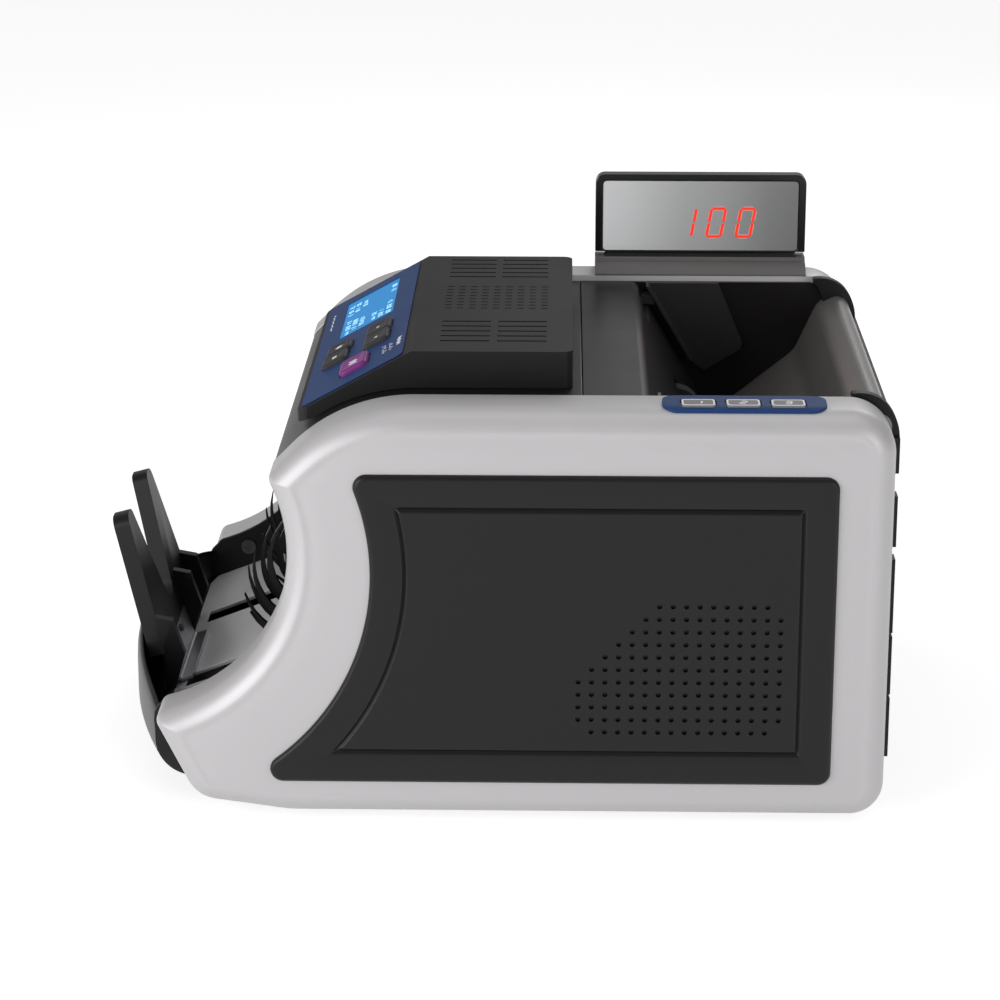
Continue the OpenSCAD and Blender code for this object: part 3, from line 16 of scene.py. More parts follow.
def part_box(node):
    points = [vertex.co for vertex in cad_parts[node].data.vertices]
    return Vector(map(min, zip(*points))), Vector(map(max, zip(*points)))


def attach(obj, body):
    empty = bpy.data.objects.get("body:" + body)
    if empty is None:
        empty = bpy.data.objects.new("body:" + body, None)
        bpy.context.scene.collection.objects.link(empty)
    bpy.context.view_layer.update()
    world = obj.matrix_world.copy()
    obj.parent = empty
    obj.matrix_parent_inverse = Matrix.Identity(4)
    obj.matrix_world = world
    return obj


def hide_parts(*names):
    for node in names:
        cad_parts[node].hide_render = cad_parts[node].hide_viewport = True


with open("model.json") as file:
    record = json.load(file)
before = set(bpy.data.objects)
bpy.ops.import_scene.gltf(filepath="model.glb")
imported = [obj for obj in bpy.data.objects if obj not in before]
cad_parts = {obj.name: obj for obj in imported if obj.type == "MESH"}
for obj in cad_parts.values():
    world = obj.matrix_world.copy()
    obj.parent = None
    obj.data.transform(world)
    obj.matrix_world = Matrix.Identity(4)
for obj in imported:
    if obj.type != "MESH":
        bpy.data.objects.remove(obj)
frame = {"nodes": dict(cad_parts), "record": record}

MM = 0.001
NODES = frame["nodes"]
BODY_OF = {node: body for body, nodes in frame["record"]["behaviour"]["bodies"].items() for node in nodes}
SLOT_OF = {part["node"]: part["material_slot"] for part in frame["record"]["subparts"]}
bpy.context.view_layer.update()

# %% [markdown]
# The camera stands to the operator's right, a little above the machine, with a long lens. It could
# be aimed with a constraint at a target. Here its axes are given as unit vectors, which go straight
# into the columns of its matrix, so the view is exact and nothing else in the scene can turn it.

# %% Camera
CAMERA_AT = Vector((1.18986, 0.02643, 0.46745))
LOOK = Vector((-0.95351321, -0.01971248, -0.3007058))
RIGHT = Vector((-0.02066911, 0.99978637, 0.0))
UP = RIGHT.cross(LOOK)
SENSOR, LENS_PER_SENSOR = 36, 3.044731
camera_data = bpy.data.cameras.new("camera")
camera_data.sensor_width = SENSOR
camera_data.lens = SENSOR * LENS_PER_SENSOR
camera = bpy.data.objects.new("camera", camera_data)
bpy.context.scene.collection.objects.link(camera)
camera.matrix_world = Matrix((
    (RIGHT.x, UP.x, -LOOK.x, CAMERA_AT.x), (RIGHT.y, UP.y, -LOOK.y, CAMERA_AT.y),
    (RIGHT.z, UP.z, -LOOK.z, CAMERA_AT.z), (0, 0, 0, 1)))
bpy.context.scene.camera = camera
print("camera up", tuple(round(v, 3) for v in UP))

# %% [markdown]
# Studio: a pale floor and four soft lamps. A wide one hangs overhead, the key stands off the front
# corner, a fill off the rear corner, and a narrow rim lamp behind the far side draws a line of light
# along bent edges. Camera rays see a white world, and a floor that glows a little for them, so the
# background is white without more light on the machine and the floor still takes a soft shadow. A
# studio image could light the machine as well, but lamps can be moved one by one until each
# highlight sits where it should.

# %% Studio
def light_path_any(tree, outputs):
    """One if the ray is any of the named kinds: the largest of their flags."""
    path = tree.nodes.new("ShaderNodeLightPath")
    out = path.outputs[outputs[0]]
    for name in outputs[1:]:
        top = tree.nodes.new("ShaderNodeMath")
        top.operation = "MAXIMUM"
        tree.links.new(out, top.inputs[0])
        tree.links.new(path.outputs[name], top.inputs[1])
        out = top.outputs[0]
    return out

WORLD_RAYS = ("Is Camera Ray", "Is Transmission Ray")
FLOOR_RAYS = ("Is Camera Ray", "Is Glossy Ray", "Is Transmission Ray")
WORLD_LIGHT, FLOOR_TONE, FLOOR_GLOW = 0.34, 0.62, 0.72
world = bpy.data.worlds.new("studio")
world.use_nodes = True
bpy.context.scene.world = world
tree = world.node_tree
plain = tree.nodes["Background"]
plain.inputs["Color"].default_value = (1, 1, 1, 1)
plain.inputs["Strength"].default_value = WORLD_LIGHT
seen = tree.nodes.new("ShaderNodeBackground")
seen.inputs["Color"].default_value = (1, 1, 1, 1)
seen.inputs["Strength"].default_value = 1.0
blend = tree.nodes.new("ShaderNodeMixShader")
tree.links.new(light_path_any(tree, WORLD_RAYS), blend.inputs[0])
tree.links.new(plain.outputs[0], blend.inputs[1])
tree.links.new(seen.outputs[0], blend.inputs[2])
tree.links.new(blend.outputs[0], tree.nodes["World Output"].inputs["Surface"])

def floor_material():
    """White matte floor that adds a glow of its own for the rays that show it."""
    m = bpy.data.materials.new("studio_floor")
    m.use_nodes = True
    t = m.node_tree
    shader = t.nodes["Principled BSDF"]
    shader.inputs["Base Color"].default_value = (FLOOR_TONE, FLOOR_TONE, FLOOR_TONE, 1)
    shader.inputs["Roughness"].default_value = 0.9
    shader.inputs["Specular IOR Level"].default_value = 0.0
    shader.inputs["Emission Color"].default_value = (1, 1, 1, 1)
    glow = t.nodes.new("ShaderNodeMath")
    glow.operation = "MULTIPLY"
    glow.inputs[1].default_value = FLOOR_GLOW
    t.links.new(light_path_any(t, FLOOR_RAYS), glow.inputs[0])
    t.links.new(glow.outputs[0], shader.inputs["Emission Strength"])
    return m

floor_mesh = bpy.data.meshes.new("floor")
floor_mesh.from_pydata([(-9, -9, 0), (9, -9, 0), (9, 9, 0), (-9, 9, 0)], [], [(0, 1, 2, 3)])
floor_mesh.materials.append(floor_material())
floor = bpy.data.objects.new("floor", floor_mesh)
bpy.context.scene.collection.objects.link(floor)

def soft_lamp(name, at, target, size, power):
    """Rectangular lamp at a point, turned to face a target."""
    data = bpy.data.lights.new(name, "AREA")
    data.shape = "RECTANGLE"
    data.size, data.size_y = size
    data.energy = power
    lamp = bpy.data.objects.new(name, data)
    bpy.context.scene.collection.objects.link(lamp)
    lamp.location = at
    lamp.rotation_euler = (Vector(target) - Vector(at)).to_track_quat("-Z", "Y").to_euler()
    return lamp

CENTRE = (0.0, 0.0, 0.1)
soft_lamp("overhead", (0.1, 0.2, 1.5), CENTRE, (0.8, 1.2), 1.8)
soft_lamp("key", (0.85, -0.9, 0.42), (0.1, -0.1, 0.1), (0.9, 0.8), 8.0)
soft_lamp("fill", (1.3, 1.1, 0.45), CENTRE, (0.9, 0.7), 4.6)
soft_lamp("rim", (-1.1, 0.5, 0.85), CENTRE, (0.7, 0.35), 2.4)
print("studio ready")

# %% [markdown]
# A finish is one Principled shader. Moulded plastic is never one flat colour: it has a fine grain
# that catches light and a slow drift of tone, so each finish adds a small bump from a fine noise
# and mixes two close tones with a coarse one. Painted images would do the same, but noises need no
# unwrapping and stay sharp close up. They read Object coordinates, because every piece sits at the
# origin with its place in its mesh.

# %% Finishes
DRIFT_PER_METRE = 28.0

def finish(name, base, rough, metal=0.0, grain=0.0, grain_size=0.4, drift=0.04, rough_drift=0.05,
           emit=None, emit_strength=0.0, stretch=None, specular=0.5):
    """Principled finish: base colour with a drift of tone, roughness with a drift, and grain.

    grain is the depth of the grain in micrometres, grain_size its size in millimetres, and stretch
    a scale per axis that turns the grain into brushing."""
    m = bpy.data.materials.new(name)
    m.use_nodes = True
    t = m.node_tree
    shader = t.nodes["Principled BSDF"]
    shader.inputs["Metallic"].default_value = metal
    shader.inputs["Specular IOR Level"].default_value = specular
    where = t.nodes.new("ShaderNodeTexCoord")
    spot = where.outputs["Object"]
    if stretch:
        turn = t.nodes.new("ShaderNodeMapping")
        turn.inputs["Scale"].default_value = stretch
        t.links.new(spot, turn.inputs["Vector"])
        spot = turn.outputs["Vector"]
    slow = t.nodes.new("ShaderNodeTexNoise")
    slow.inputs["Scale"].default_value = DRIFT_PER_METRE
    slow.inputs["Detail"].default_value = 3.0
    t.links.new(spot, slow.inputs["Vector"])
    tone = t.nodes.new("ShaderNodeMix")
    tone.data_type = "RGBA"
    tone.inputs["A"].default_value = (*[c * (1 - drift) for c in base], 1)
    tone.inputs["B"].default_value = (*[min(1.0, c * (1 + drift)) for c in base], 1)
    t.links.new(slow.outputs["Fac"], tone.inputs["Factor"])
    t.links.new(tone.outputs["Result"], shader.inputs["Base Color"])
    spread = t.nodes.new("ShaderNodeMapRange")
    spread.inputs["To Min"].default_value = max(0.02, rough - rough_drift)
    spread.inputs["To Max"].default_value = min(1.0, rough + rough_drift)
    t.links.new(slow.outputs["Fac"], spread.inputs["Value"])
    t.links.new(spread.outputs["Result"], shader.inputs["Roughness"])
    if grain:
        fine = t.nodes.new("ShaderNodeTexNoise")
        fine.inputs["Scale"].default_value = 1000.0 / grain_size
        fine.inputs["Detail"].default_value = 2.0
        t.links.new(spot, fine.inputs["Vector"])
        bump = t.nodes.new("ShaderNodeBump")
        bump.inputs["Distance"].default_value = grain * 1e-6
        bump.inputs["Strength"].default_value = 1.0
        t.links.new(fine.outputs["Fac"], bump.inputs["Height"])
        t.links.new(bump.outputs["Normal"], shader.inputs["Normal"])
    if emit:
        shader.inputs["Emission Color"].default_value = (*emit, 1)
        shader.inputs["Emission Strength"].default_value = emit_strength
    return m

FINISH = {
    "silver_cover": finish("silver_paint", (0.635, 0.62, 0.632), 0.46, 0.35, 5, 0.25, 0.02, 0.03),
    "charcoal": finish("charcoal_moulding", (0.0082, 0.0070, 0.0068), 0.36, 0, 14, 0.5, 0.08, 0.05,
                       specular=0.32),
    "black": finish("black_moulding", (0.006, 0.006, 0.0065), 0.42, 0, 12, 0.5, 0.1, 0.06, specular=0.3),
    "gloss_black": finish("gloss_black", (0.005, 0.005, 0.0055), 0.2, 0, 2, 1.2, 0.1, 0.04, specular=0.5),
    "head_charcoal": finish("head_charcoal", (0.0105, 0.0098, 0.0102), 0.5, 0, 18, 0.55, 0.08, 0.06,
                            specular=0.3),
    "blue_overlay": finish("blue_film", (0.020, 0.058, 0.185), 0.45, 0, 5, 0.3, 0.03, 0.04, specular=0.12),
    "lcd": finish("message_window", (0.0, 0.06, 0.16), 0.35, 0, drift=0.1, emit=(0.0, 0.20, 0.52),
                  emit_strength=0.95, specular=0.15),
    "key_dark": finish("dark_key", (0.04, 0.04, 0.043), 0.5, 0, 8, 0.4, 0.06, specular=0.3),
    "key_purple": finish("purple_key", (0.22, 0.016, 0.23), 0.38, 0, 5, 0.4, 0.05),
    "button_grey": finish("grey_button", (0.24, 0.235, 0.25), 0.45, 0, 5, 0.4, 0.04, specular=0.3),
    "lit_red": finish("lit_red", (0.5, 0.02, 0.01), 0.4, emit=(0.9, 0.035, 0.012), emit_strength=0.85),
    "polished_steel": finish("satin_floor", (0.80, 0.785, 0.80), 0.36, 0.25, 2, 1.2, 0.04, 0.05,
                             stretch=(1, 0.05, 1)),
    "sheet_steel": finish("zinc_sheet", (0.42, 0.43, 0.45), 0.36, 0.9, 6, 1.5, 0.12, 0.1),
    "turned_steel": finish("turned_steel", (0.55, 0.55, 0.56), 0.22, 1.0, 3, 0.3, 0.04, stretch=(6, 1, 1)),
    "screw_steel": finish("screw_steel", (0.12, 0.12, 0.125), 0.34, 0.9, 3, 0.4, 0.08),
    "bearing": finish("sintered_bronze", (0.48, 0.36, 0.16), 0.42, 1.0, 5, 0.3, 0.1),
    "rubber": finish("moulded_rubber", (0.022, 0.022, 0.022), 0.78, 0, 20, 0.5, 0.15),
    "nylon": finish("white_nylon", (0.72, 0.72, 0.67), 0.45, 0, 6, 0.6, 0.03),
    "motor": finish("grey_enamel", (0.15, 0.16, 0.17), 0.35, 0.2, 10, 0.8, 0.06),
    "circuit": finish("green_laminate", (0.015, 0.09, 0.04), 0.35, 0, 8, 1.0, 0.15),
    "core": finish("lacquered_core", (0.13, 0.095, 0.06), 0.5, 0.3, 15, 0.7, 0.2, stretch=(1, 1, 8)),
}
# Pale print with a faint emission of its own: real print plus a painted glow.
PALE_PRINT_PAINTED_GLOW = finish("pale_print_painted_glow", (0.86, 0.87, 0.88), 0.5, 0, 2, 0.3, 0.05, emit=(1, 1, 1), emit_strength=0.08)
# Hopper sheet: its satin gloss is real, and its light grey base is a painted reflection of the studio.
SHEET_PAINTED_REFLECTION = finish("satin_sheet_painted_reflection", (0.25, 0.235, 0.228), 0.3, 0.45, 4, 0.8, 0.06, 0.05, specular=0.7)
# Display bracket: a black moulding given a lighter grey, which is painted light on its hinge barrel.
BRACKET_PAINTED_LIGHT = finish("bracket_painted_light", (0.135, 0.128, 0.128), 0.42, 0, 8, 0.5, 0.06, 0.05, specular=0.5)
GUIDE_BLACK = finish("guide_moulding", (0.019, 0.0185, 0.019), 0.36, 0, 9, 0.5, 0.08, 0.05, specular=0.6)
PALE_LIT = finish("pale_lit", (0.5, 0.8, 0.9), 0.4, emit=(0.42, 0.86, 1.0), emit_strength=0.75)
LIT_EDGE = finish("lit_edge", (0.5, 0.3, 0.3), 0.4, emit=(0.62, 0.42, 0.40), emit_strength=0.35)
OWN_FINISH = {"display_bracket": BRACKET_PAINTED_LIGHT, "guide_left": GUIDE_BLACK, "guide_right": GUIDE_BLACK}
print("finishes:", len(FINISH))

# %% [markdown]
# The tinted display window is a half mirror over a dark chamber. Seen from the operator's right its
# reflection goes from light grey at the front to dark grey at the rear. A true mirror would show what
# stands round it, so this finish paints that reflection into its colour instead, running between the
# two tones along the machine's length. A low roughness gives it the gloss of a pane.

# %% Display window finish: painted reflection
def painted_reflection_finish(y0, y1):
    """Painted reflection: tone falls along Y from pale at y0 to dark at y1, read from a ramp of stops."""
    m = bpy.data.materials.new("half_mirror_painted_reflection")
    m.use_nodes = True
    t = m.node_tree
    shader = t.nodes["Principled BSDF"]
    shader.inputs["Roughness"].default_value = 0.12
    where = t.nodes.new("ShaderNodeTexCoord")
    split = t.nodes.new("ShaderNodeSeparateXYZ")
    t.links.new(where.outputs["Object"], split.inputs[0])
    along = t.nodes.new("ShaderNodeMapRange")
    along.inputs["From Min"].default_value = y0
    along.inputs["From Max"].default_value = y1
    t.links.new(split.outputs["Y"], along.inputs["Value"])
    ramp = t.nodes.new("ShaderNodeValToRGB")
    stops = ((0.0, 0.86), (0.12, 0.80), (0.42, 0.56), (0.6, 0.48), (0.85, 0.32), (1.0, 0.26))
    while len(ramp.color_ramp.elements) < len(stops):
        ramp.color_ramp.elements.new(0.5)
    for element, (at, tone) in zip(ramp.color_ramp.elements, stops):
        element.position = at
        element.color = (tone, tone * 1.01, tone * 1.02, 1)
    t.links.new(along.outputs["Result"], ramp.inputs["Fac"])
    t.links.new(ramp.outputs["Color"], shader.inputs["Base Color"])
    return m

window_low, window_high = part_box("display_window")
# The window's own slot takes this finish, with its painted reflection.
FINISH["tinted_window"] = painted_reflection_finish(window_low.y, window_high.y)
for node, obj in NODES.items():
    obj.data.materials.clear()
    obj.data.materials.append(FINISH[SLOT_OF[node]])
print("window from", round(window_low.y, 4), "to", round(window_high.y, 4))

# %% [markdown]
# A skin is the visible surface over a solid, and there are two ways to make one. Where the solid
# has the right shape and only looks too sharp, a merged copy of it gets a small bevel and smooth
# shading, which is the quicker way and keeps every size. Where the solid is made of flat facets, a
# new surface is worked out on a grid of rings, because a bevel can't make facets round.

# %% Adding pieces
SAME_POINT, SLIVER = 2e-6, 1e-7  # metres
SOLID_POINT, FLAT_ANGLE = 5e-6, 0.6  # metres and degrees, for the loose triangles of a solid

def place(name, mesh, material, body, replaces=(), sharp=30.0):
    """Link a mesh as a piece: shade it smooth below the sharp angle, give it its finish and body."""
    mesh.materials.clear()
    mesh.materials.append(material)
    mesh.shade_smooth()
    mesh.set_sharp_from_angle(angle=np.radians(sharp))
    obj = bpy.data.objects.new(name, mesh)
    bpy.context.scene.collection.objects.link(obj)
    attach(obj, body)
    if replaces:
        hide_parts(*replaces)
    return obj

def mesh_of(name, points, faces):
    """Mesh from millimetre points; doubles merged and every face turned outwards."""
    mesh = bpy.data.meshes.new(name)
    mesh.from_pydata((np.asarray(points, float) * MM).tolist(), [], [list(map(int, f)) for f in faces])
    bm = bmesh.new()
    bm.from_mesh(mesh)
    bmesh.ops.remove_doubles(bm, verts=bm.verts, dist=SAME_POINT)
    bmesh.ops.dissolve_degenerate(bm, edges=bm.edges, dist=SLIVER)
    bmesh.ops.recalc_face_normals(bm, faces=bm.faces)
    bm.to_mesh(mesh)
    bm.free()
    return mesh

def merged_copy(node, top=None):
    """Copy of a solid with its loose triangles merged into faces, cut level and closed at top if given."""
    mesh = NODES[node].data.copy()
    mesh.name = node + "_skin"
    bm = bmesh.new()
    bm.from_mesh(mesh)
    bmesh.ops.remove_doubles(bm, verts=bm.verts, dist=SOLID_POINT)
    if top is not None:
        cut = bmesh.ops.bisect_plane(bm, geom=list(bm.verts) + list(bm.edges) + list(bm.faces),
                                     plane_co=(0, 0, top * MM), plane_no=(0, 0, 1), clear_outer=True)
        rim = [e for e in cut["geom_cut"] if isinstance(e, bmesh.types.BMEdge)]
        bmesh.ops.holes_fill(bm, edges=rim, sides=0)
    bmesh.ops.dissolve_limit(bm, angle_limit=np.radians(FLAT_ANGLE), verts=bm.verts, edges=bm.edges)
    bmesh.ops.recalc_face_normals(bm, faces=bm.faces)
    bm.to_mesh(mesh)
    bm.free()
    return mesh

SHARP = 35.0

def round_edges(obj, width, segments):
    """Bevel of the given width in millimetres on every edge sharper than SHARP degrees."""
    bevel = obj.modifiers.new("edges", "BEVEL")
    bevel.width = width * MM
    bevel.segments = segments
    bevel.limit_method = "ANGLE"
    bevel.angle_limit = np.radians(SHARP)

def ring_faces(rings, around):
    """Quads between neighbouring rings of a (rings x around) grid, closed round."""
    i, j = np.meshgrid(np.arange(rings - 1), np.arange(around), indexing="ij")
    a = i * around + j
    b = i * around + (j + 1) % around
    return np.stack([a, b, b + around, a + around], -1).reshape(-1, 4).tolist()

def closed_skin(name, rings):
    """Skin over a stack of rings (m x n x 3), with a flat cap on the first and on the last ring."""
    m, n = rings.shape[:2]
    faces = ring_faces(m, n)
    faces += [list(range(n)), list(range((m - 1) * n, m * n))]
    return mesh_of(name, rings.reshape(-1, 3), faces)

print("helpers ready")

# %% [markdown]
# Flat marks, lit figures and small plates are all the same thing: an outline in the plane, given a
# little thickness. An image on the surface could show them too, but a plate keeps its crisp edge and
# is a real shape. The builder below takes outlines and a function that lays points of the plane,
# with their height, into the machine.

# %% Thin plates
def xyz(x, y, z):
    """Points from three coordinates, each an array or one number for all."""
    return np.stack(np.broadcast_arrays(x, y, z), -1)

def plates(name, outlines, low, high, lay):
    """Closed plate over each outline, from height low to height high, laid by lay(u, v, h)."""
    points, faces, base = [], [], 0
    for outline in outlines:
        u, v = np.asarray(outline).T
        n = len(u)
        k = np.arange(n)
        points += [lay(u, v, low), lay(u, v, high)]
        faces += [(base + k).tolist(), (base + n + k).tolist()]
        faces += (base + np.stack([k, (k + 1) % n, n + (k + 1) % n, n + k], -1)).tolist()
        base += 2 * n
    return mesh_of(name, np.concatenate(points), faces)

def rim_plate(name, outer, inner, low, high, lay):
    """Closed frame between two outlines that have the same number of points."""
    loops = np.stack([lay(*outline.T, h) for outline, h in
                      ((outer, low), (outer, high), (inner, high), (inner, low))])
    n = loops.shape[1]
    return mesh_of(name, loops.reshape(-1, 3), (np.array(ring_faces(5, n)) % (4 * n)).tolist())

def bar(u, v, w, h):
    """Rectangle with its centre at (u, v)."""
    return [(u - w / 2, v - h / 2), (u + w / 2, v - h / 2), (u + w / 2, v + h / 2), (u - w / 2, v + h / 2)]

def soft_rect(w, h, power=8, n=48):
    """Superellipse: each coordinate is the signed cosine or sine raised to 2 / power."""
    t = np.linspace(0, 2 * np.pi, n, endpoint=False) + np.pi / n
    c, s = np.cos(t), np.sin(t)
    return np.stack([w / 2 * np.sign(c) * np.abs(c) ** (2 / power),
                     h / 2 * np.sign(s) * np.abs(s) ** (2 / power)], -1)

# Bars of each digit: a top, b and c right, d bottom, e and f left, g middle
SEVEN = {"0": "abcdef", "1": "bc", "2": "abged", "3": "abgcd", "4": "fgbc", "5": "afgcd", "6": "afgedc",
         "7": "abc", "8": "abcdefg", "9": "abcdfg"}
SPANS = {"a": ((0, 2), (1, 2)), "b": ((1, 1), (1, 2)), "c": ((1, 0), (1, 1)), "d": ((0, 0), (1, 0)),
         "e": ((0, 0), (0, 1)), "f": ((0, 1), (0, 2)), "g": ((0, 1), (1, 1))}

def seven_bars(text, at, w, h, t, pitch, lean=10.0):
    """Six-sided bars of a row of digits with its lower left corner at (u, v), leaning by lean degrees."""
    out, slope = [], np.tan(np.radians(lean))
    for i, digit in enumerate(text):
        for key in SEVEN.get(digit, ""):
            a, b = (np.array([p[0] * (w - t) + t / 2, p[1] * (h - t) / 2 + t / 2]) for p in SPANS[key])
            d = (b - a) / np.linalg.norm(b - a)
            m = np.array([-d[1], d[0]]) * t / 2
            a, b, tip = a + d * 0.1 * t, b - d * 0.1 * t, d * t / 2
            u, v = np.array([a, a + tip - m, b - tip - m, b, b - tip + m, a + tip + m]).T
            out.append(np.stack([at[0] + i * pitch + u + v * slope, at[1] + v], -1))
    return out

print("digits known:", len(SEVEN))

# %% [markdown]
# The silver side covers are half shells with a large cut-out for the stacker. Their side outline is
# a chain of arcs: long brow, hollow cut-out, small lip, chin and two rear corners. It could be drawn
# by hand as a Bezier curve, but arcs moved inwards by d give the exact parallel curve, so the
# rounded outer edge is a stack of such outlines whose inset and height follow a quarter circle.

# %% Outline of a side cover
FRONT, REAR, UNDER, TOP = 126.0, 150.0, 4.0, 164.0
FACE_X, RAIL_X, EDGE_R, WALL = 123.0, 97.0, 10.0, 3.0
CUT_C, CUT_R = np.array([-142.0, 107.5]), 66.5
BROW_C, BROW_R, BROW_N, TIP_R = np.array([-28.0, 99.0]), 65.0, 135.0, 3.5
LIP_R, LIP_N, CHIN_N, CHIN_R, TOE_R = 4.0, 206.0, 262.0, 14.0, 60.0
REAR_LOW_R, REAR_TOP_R, LEAST_R = 13, 17, 0.4

def unit(a):
    """Unit vectors at angles a in degrees."""
    a = np.radians(a)
    return np.stack([np.cos(a), np.sin(a)], -1)

def angle_of(v):
    """Direction of a vector in degrees, from 0 to 360."""
    return np.degrees(np.arctan2(v[1], v[0])) % 360

def arc(c, r, a0, a1, n):
    """Centre plus radius times unit vectors at n + 1 even angles."""
    return np.asarray(c) + r * unit(np.linspace(a0, a1, n + 1))

def corner_centre(n1, k1, n2, k2, s):
    """Point at distance s inside two straight edges with outward normals n1, n2 and offsets k."""
    a, b = unit(n1), unit(n2)
    d = a[0] * b[1] - a[1] * b[0]
    return np.array([(k1 - s) * b[1] - (k2 - s) * a[1], a[0] * (k2 - s) - b[0] * (k1 - s)]) / d

def nose_centre(c, r, n, k, s, side):
    """Point at distance s inside a straight edge and at distance s outside a circle."""
    m, t = unit(n), unit(n - 90)
    a = k - s - m @ c
    return c + a * m + side * np.sqrt((r + s) ** 2 - a * a) * t

BROW_K = unit(BROW_N) @ BROW_C + BROW_R
LIP_K = unit(LIP_N) @ np.array([-FRONT, UNDER + 34])
TOE_K = unit(CHIN_N) @ np.array([-76.0, UNDER])

def held(r, d):
    """Radius left of an outer corner when the outline moves in by d."""
    return max(r - d, LEAST_R)

def side_outline(d, fine=4):
    """Chain of arcs round a side cover, moved in by d; points are (y, z)."""
    tip = nose_centre(CUT_C, CUT_R, BROW_N, BROW_K, d + held(TIP_R, d), 1)
    lip = nose_centre(CUT_C, CUT_R, LIP_N, LIP_K, d + held(LIP_R, d), -1)
    tip_a, lip_a = angle_of(CUT_C - tip), angle_of(CUT_C - lip)
    chin = corner_centre(LIP_N, LIP_K, CHIN_N, TOE_K, max(CHIN_R, d + LEAST_R))
    toe = corner_centre(CHIN_N, TOE_K, 270, -UNDER, TOE_R)
    low, top = max(REAR_LOW_R, d + LEAST_R), max(REAR_TOP_R, d + LEAST_R)
    return np.concatenate([
        arc([REAR - low, UNDER + low], held(REAR_LOW_R, d), 270, 360, 7 * fine),
        arc([REAR - top, TOP - top], held(REAR_TOP_R, d), 0, 90, 8 * fine),
        arc(BROW_C, BROW_R - d, 90, BROW_N, 10 * fine),
        arc(tip, held(TIP_R, d), BROW_N, tip_a, 3 * fine)[1:],
        arc(CUT_C, -(CUT_R + d), tip_a - 2, lip_a + 2, 20 * fine),
        arc(lip, held(LIP_R, d), lip_a, LIP_N, 4 * fine),
        arc(chin, held(CHIN_R, d), LIP_N, CHIN_N, 5 * fine),
        arc(toe, TOE_R - d, CHIN_N, 270, 4 * fine)[:-1]])

print("outline points:", len(side_outline(0)))

# %% [markdown]
# On the real cover the rounded edge doesn't run smoothly into the flat side: a shallow crease parts
# them, half a millimetre deep, and rises slowly to the side. It could be sculpted, but here it is
# six more rings of the same stack, so it follows the outline all the way round by itself.

# %% Side cover skins
# Crease: depth below the flat side, and distance inwards from where the rounded edge ends
CREASE = ((0, 7.0), (0.06, 4.6), (0.22, 2.4), (0.42, 0.6), (0.46, -0.5), (0.38, -1.4))
RIM = ((0.4, 0.0), (0.1, 0.1), (0.0, 0.4), (0.0, WALL))

def quarter(r, angles):
    """Pairs of x and inset on a quarter circle of radius r about the centre of the rounded edge."""
    return [(FACE_X - EDGE_R + r * np.sin(np.radians(a)), EDGE_R - r * np.cos(np.radians(a))) for a in angles]

def ring_at(x, outline):
    """Ring of 3D points with one x for a whole outline of (y, z) points."""
    return np.c_[np.full(len(outline), x), outline]

def cover_mesh(name, side):
    """Rings from the flat side over the crease, the rounded edge and the rail, round the rim and back."""
    turn = np.linspace(90, 0, 15)
    steps = [(FACE_X - deep, EDGE_R + inset) for deep, inset in CREASE] + quarter(EDGE_R, turn[2:])
    steps += [(RAIL_X + x, inset) for x, inset in RIM] + quarter(EDGE_R - WALL, turn[::-2])
    return closed_skin(name, np.stack([ring_at(side * x, side_outline(d)) for x, d in steps]))

for side, word in ((1, "right"), (-1, "left")):
    node = "side_cover_" + word
    skin = place(node + "_skin", cover_mesh(node, side), FINISH["silver_cover"], BODY_OF[node], (node,),
                 40)
    print(skin.name, len(skin.data.polygons), "faces")

# %% [markdown]
# Each dark side panel is a plate with a soft edge, a fine embossed line that runs parallel to the
# edge, and a field of small round vents. The edge and the line are rings of one parallel outline.
# Booleans could cut the vents, but they are slow and leave slivers that spoil the shading. So the
# flat field inside the line is filled by a constrained triangulation round the vents, and each vent
# is a real pit with a wall and a floor.

# %% Side panels
PANEL_T, PANEL_R, PANEL_CORNER, PANEL_EDGE_R = 2.0, 93.0, 5.0, 1.9
PANEL_C = CUT_C + [5.0, -5.5]
PANEL_TOP, PANEL_LOW, PANEL_REAR = TOP - 23.5, UNDER + 15.0, REAR - 21.0
VENT_R, VENT_PITCH, VENT_COLS, VENT_ROWS, VENT_DEEP = 1.0, 5.0, 16, 11, 1.6
VENT_SIDES = 14
# Embossed line: depth, and distance from its middle, which runs LINE_AT inside the panel's edge
LINE_AT, LINE = 12.9, ((0, -1.3), (0.16, -0.9), (0.75, -0.45), (1.0, 0), (0.75, 0.45), (0.16, 0.9), (0, 1.3),
                       (0, 1.6), (0, 2.0))
VENT_AT = np.array([PANEL_REAR - 20.4 - (VENT_COLS - 1) * VENT_PITCH, PANEL_LOW + 21.5])

def panel_outline(d):
    """Rounded panel outline with a hollow front edge, moved in by d."""
    r = held(PANEL_CORNER, d)
    s = d + r
    top = nose_centre(PANEL_C, PANEL_R, 90, PANEL_TOP, s, 1)
    low = nose_centre(PANEL_C, PANEL_R, 270, -PANEL_LOW, s, -1)
    top_a, low_a = angle_of(PANEL_C - top), angle_of(PANEL_C - low)
    return np.concatenate([
        arc([PANEL_REAR - s, PANEL_LOW + s], r, 270, 360, 8),
        arc([PANEL_REAR - s, PANEL_TOP - s], r, 0, 90, 8),
        arc(top, r, 90, top_a, 8),
        arc(PANEL_C, -(PANEL_R + d), top_a - 1, low_a + 1, 60),
        arc(low, r, low_a, 270, 8)])

def vent_centres():
    """Grid of vents without its slanted upper front corner and without the three other corner vents."""
    c, r = np.meshgrid(np.arange(VENT_COLS), np.arange(VENT_ROWS), indexing="ij")
    rear, front, top, low = c == VENT_COLS - 1, c == 0, r == 0, r == VENT_ROWS - 1
    keep = (c + r >= 6) & ~(rear & (top | low)) & ~(front & low)
    return VENT_AT + VENT_PITCH * np.stack([c[keep], VENT_ROWS - 1 - r[keep]], -1)

